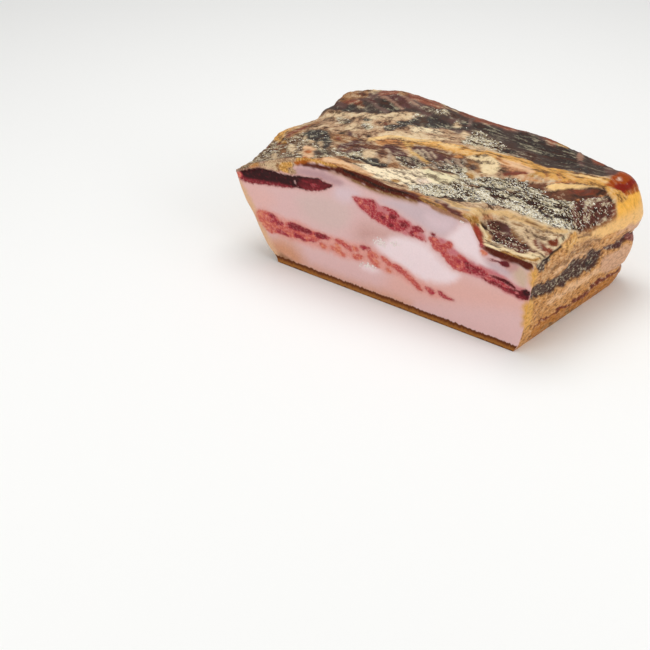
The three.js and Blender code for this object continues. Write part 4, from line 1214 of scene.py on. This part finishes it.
def light_and_dark(tree, colour, texture, paleness, depth):
    """A colour browned where the texture is below 0, blackened far below it, and bleached above it."""
    browned = layered(tree, colour, (summed(tree, 0.4, (depth, 0.35)), linear("#4a2510")))
    bleached = layered(tree, colour, (paleness, linear("#f6e6bf")))
    return layered(
        tree, colour,
        (where(tree, 1, (texture, 0.15, -0.65)), browned),
        (where(tree, 1, (texture, -0.25, -1.1), (depth, 0.8, 1.3)), linear("#140a07")),
        (where(tree, 1, (texture, 0, 0.85)), bleached),
    )


def painted_finish(tree):
    """The finish painted on the block: its colour, and its contrast, specks and roughness."""
    colour = add(tree, "Attribute", out=1, attribute_name="coat_colour")
    look = add(tree, "Attribute", out=1, attribute_name="coat_look")
    return colour, *add(tree, "SeparateXYZ", (look,)).node.outputs


fresh_cut, tree, shader = start_material("fresh_cut_pork_belly")
spot = add(tree, "TexCoord", out=3)
painted_colour, contrast_here, _, roughness_here = painted_finish(tree)
lean_here = add(tree, "Attribute", out=2, attribute_name="lean")
shade_here = add(tree, "Attribute", out=2, attribute_name="shade")
height_here = add(tree, "Attribute", out=2, attribute_name="height")
edge_noise = mottling(tree, spot, LEAN_EDGE_MM, 3.0, 0.6)
lump_noise = mottling(tree, spot, LEAN_LUMP_MM, 3.0, 0.6, (0.7, 1, 1))
# Fine pale seams between the lumps show only here and there.
leaning = add(tree, "Mapping", {0: spot, 2: (0, radians(25), 0), 3: (0.55, 1, 1)})
lump_edges = add(tree, "TexVoronoi", {0: leaning, 2: per_mm(LUMP_SEAM_MM), 8: 1.0},
                 feature="DISTANCE_TO_EDGE")
seam = add(tree, "MapRange", (lump_edges, 0.03, 0.15, 1.0, 0.0))
seam = where(tree, seam, (lump_noise, 0.48, 0.6))
inside = summed(tree, swinging(tree, (edge_noise, 1.5)), (lean_here, 1), (seam, -0.35))
lean_mask = where(tree, 1, (inside, -0.6, 0.45))
unevenness = summed(tree, 0.1, (shade_here, 0.5))
tone = summed(tree, shade_here, (swinging(tree, (lump_noise, 1)), unevenness), (seam, 0.1))
lean_colour = add(tree, "ValToRGB", (tone,), stops=LEAN_RAMP)
# A web of fine fat runs through the lean.
web = mottling(tree, spot, FAT_WEB_MM, 3.0, 0.65)
web_share = where(tree, 0.45, (web, 0.5, 0.62), (shade_here, 0.25, 0.6))
lean_colour = layered(tree, lean_colour, (web_share, linear("#dc928a")))
fat_cloud = mottling(tree, spot, FAT_CLOUD_MM)
fat_grain = mottling(tree, spot, FAT_GRAIN_MM, 3.0, 0.65)
fat_texture = swinging(tree, (fat_cloud, 0.8), (fat_grain, 2.8))
fat_texture = add(tree, "Math", (fat_texture, contrast_here), operation="MULTIPLY")
fat_colour = light_and_dark(tree, painted_colour, fat_texture, 0.6, contrast_here)
# Under the fat lies the rind's edge: toothed and dark at its top, and dark at its foot partly as painted
# shadow.
serration = mottling(tree, spot, RIND_TOOTH_MM, 2.0, 0.5, (1, 1, 0.3))
rind_height = summed(tree, height_here, (serration, 2.0))
rind_mask = add(tree, "MapRange", (rind_height, *RIND_EDGE_TOP))
rind_place = summed(tree, 0, (rind_height, RIND_EDGE_PER_MM))
rind_colour = add(tree, "ValToRGB", (rind_place,), stops=RIND_EDGE_AND_FOOT_SHADOW_RAMP)
# Fat beside lean takes a rosy tint from it.
meat = layered(
    tree, fat_colour,
    (where(tree, 0.35, (inside, -1.6, 0)), linear("#cf8c80")),
    (lean_mask, lean_colour),
    (rind_mask, rind_colour),
)
knife = mottling(tree, spot, KNIFE_MARK_MM, 4.0, 0.55, (0.25, 1, 1))
knife = summed(tree, knife, (seam, 0.35), (lean_mask, -0.3), (fat_texture, 0.8))
plug(tree, shader, {
    "Base Color": meat,
    "Roughness": summed(tree, roughness_here, (lean_mask, 0.1)),
    "Specular IOR Level": 0.15,
    "Subsurface Weight": 0.06,
    "Subsurface Radius": (1, 0.45, 0.35),
    "Subsurface Scale": 2 * MM,
    "Normal": add(tree, "Bump", {"Strength": 0.35, "Distance": 0.3 * MM, "Height": knife}),
})

# Block of cured belly: the dried sides' look
# Dried on the hanging rack, so matt and leathery. The strands of muscle stand out, and a powdery pale
# mould sits on their ridges. Real mould specks are 0.1 to 0.3 mm across. They are drawn in cells of
# 0.75 mm, so that they show.
FIBRE_MM = (2.6, 1.0)
GRIT_MM = (0.9, 0.9)
BLOTCH_MM = 2.8
WAVER_MM = 1.2
PIT_MM = 0.8
SPECK_MM = 0.75
PIT_SHIFT = 0.013
cured_side, tree, shader = start_material("air_dried_belly_crust")
spot = add(tree, "TexCoord", out=3)
painted_colour, contrast_here, specks_here, roughness_here = painted_finish(tree)
side_here = add(tree, "Attribute", out=2, attribute_name="side")
along_top = add(tree, "Attribute", out=1, attribute_name="grain")


def streaks(tree, sizes, detail, rough, length):
    """Mottling drawn out along the strands: along X on the top, and along Y on the flank."""
    on_the_top = mottling(tree, along_top, sizes[0], detail, rough, (1 / length, 1, 1))
    on_the_flank = mottling(tree, spot, sizes[1], detail, rough, (1, length ** -0.5, 1))
    return add(tree, "Mix", {0: side_here, 2: on_the_top, 3: on_the_flank}, data_type="FLOAT")


def dots(tree, crowding, size, length, shift):
    """Separate dots in cells of a size in mm, each as large as the crowding and its own luck allow."""
    waver = add(tree, "TexNoise", {0: spot, 2: per_mm(WAVER_MM), 3: 2.0}, out=1)
    at = add(tree, "VectorMath", (waver, (size * MM / 2,) * 3, along_top), operation="MULTIPLY_ADD")
    at = add(tree, "Mapping", {0: at, 1: (shift,) * 3, 3: (1 / length, 1, 1)})
    cells = add(tree, "TexVoronoi", {0: at, 2: per_mm(size), 8: 1.0}, feature="F1").node.outputs
    luck = add(tree, "SeparateColor", (cells["Color"],))
    reach = summed(tree, crowding, (luck, -0.6), (cells["Distance"], -1))
    return where(tree, 1, (reach, -0.14, 0.12))


fibre = streaks(tree, FIBRE_MM, 4.0, 0.6, 5)
grit = streaks(tree, GRIT_MM, 3.0, 0.7, 1.8)
blotch = mottling(tree, spot, BLOTCH_MM, 3.0, 0.6)
texture = swinging(tree, (fibre, 4.0), (grit, 1.8), (blotch, 1.4))
texture = add(tree, "Math", (texture, contrast_here), operation="MULTIPLY")
paleness = summed(tree, 0.3, (specks_here, 0.8))
skin = light_and_dark(tree, painted_colour, texture, paleness, contrast_here)
pits = dots(tree, summed(tree, -0.35, (contrast_here, 0.5)), PIT_MM, 1.6, PIT_SHIFT)
# Mould lies as a soft film along the strands, with separate specks in it.
streaky = swinging(tree, (fibre, 1.3), (grit, 2.0))
film = summed(tree, -0.8, (streaky, 1), (specks_here, 1.3))
film_colour = add(tree, "ValToRGB", (blotch,), stops=[(0.35, "#8e8a84"), (0.65, "#e6e2da")])
mould_crowding = summed(tree, -0.25, (streaky, 1), (specks_here, 0.8))
mould = summed(tree, 0, (dots(tree, mould_crowding, SPECK_MM, 1.9, 0), 0.8))
mould_colour = add(tree, "ValToRGB", (grit,), stops=[(0.35, "#a89e8c"), (0.65, "#f8f5ee")])
skin = layered(
    tree, skin,
    (summed(tree, 0, (pits, 0.35)), linear("#2c1a0e")),
    (where(tree, 0.7, (film, -0.1, 0.7)), film_colour),
    (mould, mould_colour),
)
rough_height = add(tree, "Math", (summed(tree, fibre, (grit, 0.8)), contrast_here), operation="MULTIPLY")
rough_height = summed(tree, rough_height, (mould, 0.4), (pits, -0.4))
plug(tree, shader, {
    "Base Color": skin,
    "Roughness": summed(tree, roughness_here, (mould, 0.2)),
    "Specular IOR Level": 0.25,
    "Subsurface Weight": 0.05,
    "Subsurface Radius": (1, 0.5, 0.25),
    "Subsurface Scale": 1.5 * MM,
    "Normal": add(tree, "Bump", {"Strength": 0.5, "Distance": 0.4 * MM, "Height": rough_height}),
})

# Block of cured belly: the rind's look
# The pig's skin on the underside, scraped of its bristles and dried hard. It is smooth and half glossy,
# a translucent amber brown with darker pores.
RIND_CLOUD_MM = 14
PORE_MM = 3.2
RIND_RAMP = [(0.3, "#7a4a22"), (0.5, "#a8722f"), (0.7, "#c99652")]
rind, tree, shader = start_material("dried_pork_rind")
spot = add(tree, "TexCoord", out=3)
cloud = mottling(tree, spot, RIND_CLOUD_MM, 6.0, 0.6)
pores = add(tree, "TexVoronoi", {0: spot, 2: per_mm(PORE_MM)}, feature="F1")
pore = add(tree, "MapRange", (pores, 0.08, 0.22, 0.75, 0.0))
rind_skin = add(tree, "ValToRGB", (cloud,), stops=RIND_RAMP)
plug(tree, shader, {
    "Base Color": layered(tree, rind_skin, (pore, linear("#5a3215"))),
    "Roughness": 0.38,
    "Normal": add(tree, "Bump", {"Strength": 0.4, "Distance": 0.4 * MM, "Height": pores}),
})

for material in (fresh_cut, cured_side, rind):
    slab_mesh.materials.append(material)
FRESH, CURED, RIND = range(3)


def whole_numbers(data, name):
    """One whole number for each item of the mesh."""
    numbers = np.empty(len(data), int)
    data.foreach_get(name, numbers)
    return numbers


corner_counts = whole_numbers(slab_mesh.polygons, "loop_total")
first_corners = whole_numbers(slab_mesh.polygons, "loop_start")
corners = whole_numbers(slab_mesh.loops, "vertex_index")


def wholly(flags):
    """Faces whose corners all have the flag."""
    return np.minimum.reduceat(flags[corners].astype(int), first_corners) == 1


# Only the rind's face, the underside, has more than four corners.
face_slots = np.full(len(corner_counts), CURED)
face_slots[wholly(on_front) | wholly(on_left)] = FRESH
face_slots[corner_counts > 4] = RIND
slab_mesh.polygons.foreach_set("material_index", face_slots)
slab_mesh.polygons.foreach_set("use_smooth", corner_counts <= 4)
CUT_EDGE_ANGLE = radians(50)
slab_mesh.set_sharp_from_angle(angle=CUT_EDGE_ANGLE)

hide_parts("slab")
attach(slab, "root")

# Mould flakes
# Dry crumbs of pale mould and dried fat that stick up from the crust, drawn out along the strands.
# Each is a small flattened lump, more of them where the mould is thicker. They are powdery, so quite
# matt. Half sizes in mm: along the strand, across it and up.
FLAKE_COUNT = 7200
FLAKE_HALF_SIZES = ((0.2, 0.62), (0.11, 0.24), (0.09, 0.17))
FLAKE_SUNK = 0.3
FLAKE_UNEVEN = 0.25
FLAKE_FOOT = 6
FLAKE_LEAST_SPECKS = 0.25
FLAKE_CROWDING = 1.3
FLAKE_TURN_TOP = 0.3
FLAKE_TURN_FLANK = 0.2
FLAKE_SHIFT = 0.4
FLAKE_RAMP = [(0, "#8f7a56"), (0.35, "#cdbd98"), (0.7, "#eee8d4"), (1, "#fdfaf0")]


def joined_copies(name, seed_mesh, middles, axes, sizes, tints, uneven, rng):
    """One mesh of many small copies. Each has a middle, three axes, half sizes and a tint."""
    shape = get_vectors(seed_mesh.vertices, "co")
    corners = shape * (1 + uneven * rng.uniform(-1, 1, (len(middles), len(shape), 1)))
    spots = middles[:, None, :] + (corners * sizes[:, None, :]) @ axes
    copies_bm = bmesh.new()
    for _ in middles:
        copies_bm.from_mesh(seed_mesh)
    mesh = bpy.data.meshes.new(name)
    copies_bm.to_mesh(mesh)
    copies_bm.free()
    mesh.vertices.foreach_set("co", (spots * MM).ravel())
    mesh.update()
    layer = mesh.attributes.new("tint", "FLOAT", "POINT")
    layer.data.foreach_set("value", np.repeat(tints, len(shape)).astype(np.float32))
    made = bpy.data.objects.new(name, mesh)
    scene.collection.objects.link(made)
    return made


lump_bm = bmesh.new()
bmesh.ops.create_icosphere(lump_bm, subdivisions=1, radius=1)
small_lump = bpy.data.meshes.new("small_lump")
lump_bm.to_mesh(small_lump)
lump_bm.free()

rng = np.random.default_rng(41)
on_crust = ~on_front & ~on_left & (z > FLAKE_FOOT)
crowding = np.where(on_crust, np.maximum(specks - FLAKE_LEAST_SPECKS, 0) ** FLAKE_CROWDING, 0)
chosen = rng.choice(len(crowding), FLAKE_COUNT, p=crowding / crowding.sum())
surface_normals = get_vectors(slab_mesh.vertex_normals, "vector")[chosen]
# On the top flakes lie along the strands, bent by the seam. On the flank they lie along Y.
seam_slope = (follow(SEAM, x + 1) - seam_y) * np.exp(-((y - seam_y) / SEAM_REACH) ** 2)
heading = np.arctan(seam_slope[chosen]) + rng.normal(0, FLAKE_TURN_TOP, FLAKE_COUNT)
run_top = np.stack([np.cos(heading), np.sin(heading), np.zeros(FLAKE_COUNT)], axis=1)
run_flank = np.array([0, 1, 0]) + rng.normal(0, FLAKE_TURN_FLANK, (FLAKE_COUNT, 3))
run = np.where(flank_share[chosen, None] > 0.5, run_flank, run_top)
run -= surface_normals * np.sum(run * surface_normals, axis=1, keepdims=True)
run /= np.linalg.norm(run, axis=1, keepdims=True)
across = np.cross(surface_normals, run)
flake_axes = np.stack([run, across, surface_normals], axis=1)
flake_sizes = np.stack([rng.uniform(low, high, FLAKE_COUNT) for low, high in FLAKE_HALF_SIZES], axis=1)
shift = run * rng.uniform(-FLAKE_SHIFT, FLAKE_SHIFT, (FLAKE_COUNT, 1))
shift += across * rng.uniform(-FLAKE_SHIFT, FLAKE_SHIFT, (FLAKE_COUNT, 1))
flake_middles = places[chosen] + shift - surface_normals * FLAKE_SUNK * flake_sizes[:, 2:]
flake_tints = rng.uniform(0, 1, FLAKE_COUNT)
flakes = joined_copies("mould_flakes", small_lump, flake_middles, flake_axes, flake_sizes, flake_tints,
                       FLAKE_UNEVEN, rng)
dry_mould, tree, shader = start_material("dry_pale_mould")
flake_tint = add(tree, "Attribute", out=2, attribute_name="tint")
flake_colour = add(tree, "ValToRGB", (flake_tint,), stops=FLAKE_RAMP)
plug(tree, shader, {"Base Color": flake_colour, "Roughness": 0.85})
flakes.data.materials.append(dry_mould)
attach(flakes, "root")

# Crumbs of fat on the cut
# Soft crumbs that the knife tore from the fat and pressed flat on the cut face. They are white and waxy,
# so a little shiny. Patches of them: X and Z of the middle, half width, half height and how many crumbs.
CRUMB_PATCHES = [
    (58.5, 27.6, 3.4, 1.7, 30), (65.5, 29, 2.4, 0.9, 12), (52.5, 14.8, 3.8, 1.3, 24), (99, 49, 1.4, 0.6, 5)]
CRUMB_HALF_SIZES = [(0.3, 0.8), (0.25, 0.55), (0.15, 0.35)]
CRUMB_SPREAD = 0.5
CRUMB_SHIFT = np.array([0.3, 0.06, 0.3])
CRUMB_UNEVEN = 0.2
crumb_rng = np.random.default_rng(43)
cut_points = np.flatnonzero(on_cut)
crumb_points = []
for middle_x, middle_z, half_x, half_z, count in CRUMB_PATCHES:
    near_x = middle_x + half_x * crumb_rng.normal(0, CRUMB_SPREAD, (count, 1))
    near_z = middle_z + half_z * crumb_rng.normal(0, CRUMB_SPREAD, (count, 1))
    distance = np.hypot(x[cut_points] - near_x, z[cut_points] - near_z)
    crumb_points.extend(cut_points[distance.argmin(axis=1)])
crumb_count = len(crumb_points)
crumb_middles = places[crumb_points] + crumb_rng.uniform(-1, 1, (crumb_count, 3)) * CRUMB_SHIFT
lean_over = crumb_rng.uniform(-np.pi, np.pi, crumb_count)
flat = np.zeros(crumb_count)
crumb_axes = np.stack([
    np.stack([np.cos(lean_over), flat, np.sin(lean_over)], axis=1),
    np.stack([-np.sin(lean_over), flat, np.cos(lean_over)], axis=1),
    np.stack([flat, flat - 1, flat], axis=1),
], axis=1)
crumb_sizes = [crumb_rng.uniform(low, high, crumb_count) for low, high in CRUMB_HALF_SIZES]
crumb_sizes = np.stack(crumb_sizes, axis=1)
crumb_tints = crumb_rng.uniform(0, 1, crumb_count)
fat_crumbs = joined_copies("fat_crumbs", small_lump, crumb_middles, crumb_axes, crumb_sizes, crumb_tints,
                           CRUMB_UNEVEN, crumb_rng)
torn_fat, tree, shader = start_material("torn_waxy_fat")
crumb_tint = add(tree, "Attribute", out=2, attribute_name="tint")
crumb_colour = add(tree, "ValToRGB", (crumb_tint,), stops=[(0, "#e0cec8"), (1, "#eee2dc")])
plug(tree, shader, {"Base Color": crumb_colour, "Roughness": 0.45})
fat_crumbs.data.materials.append(torn_fat)
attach(fat_crumbs, "root")
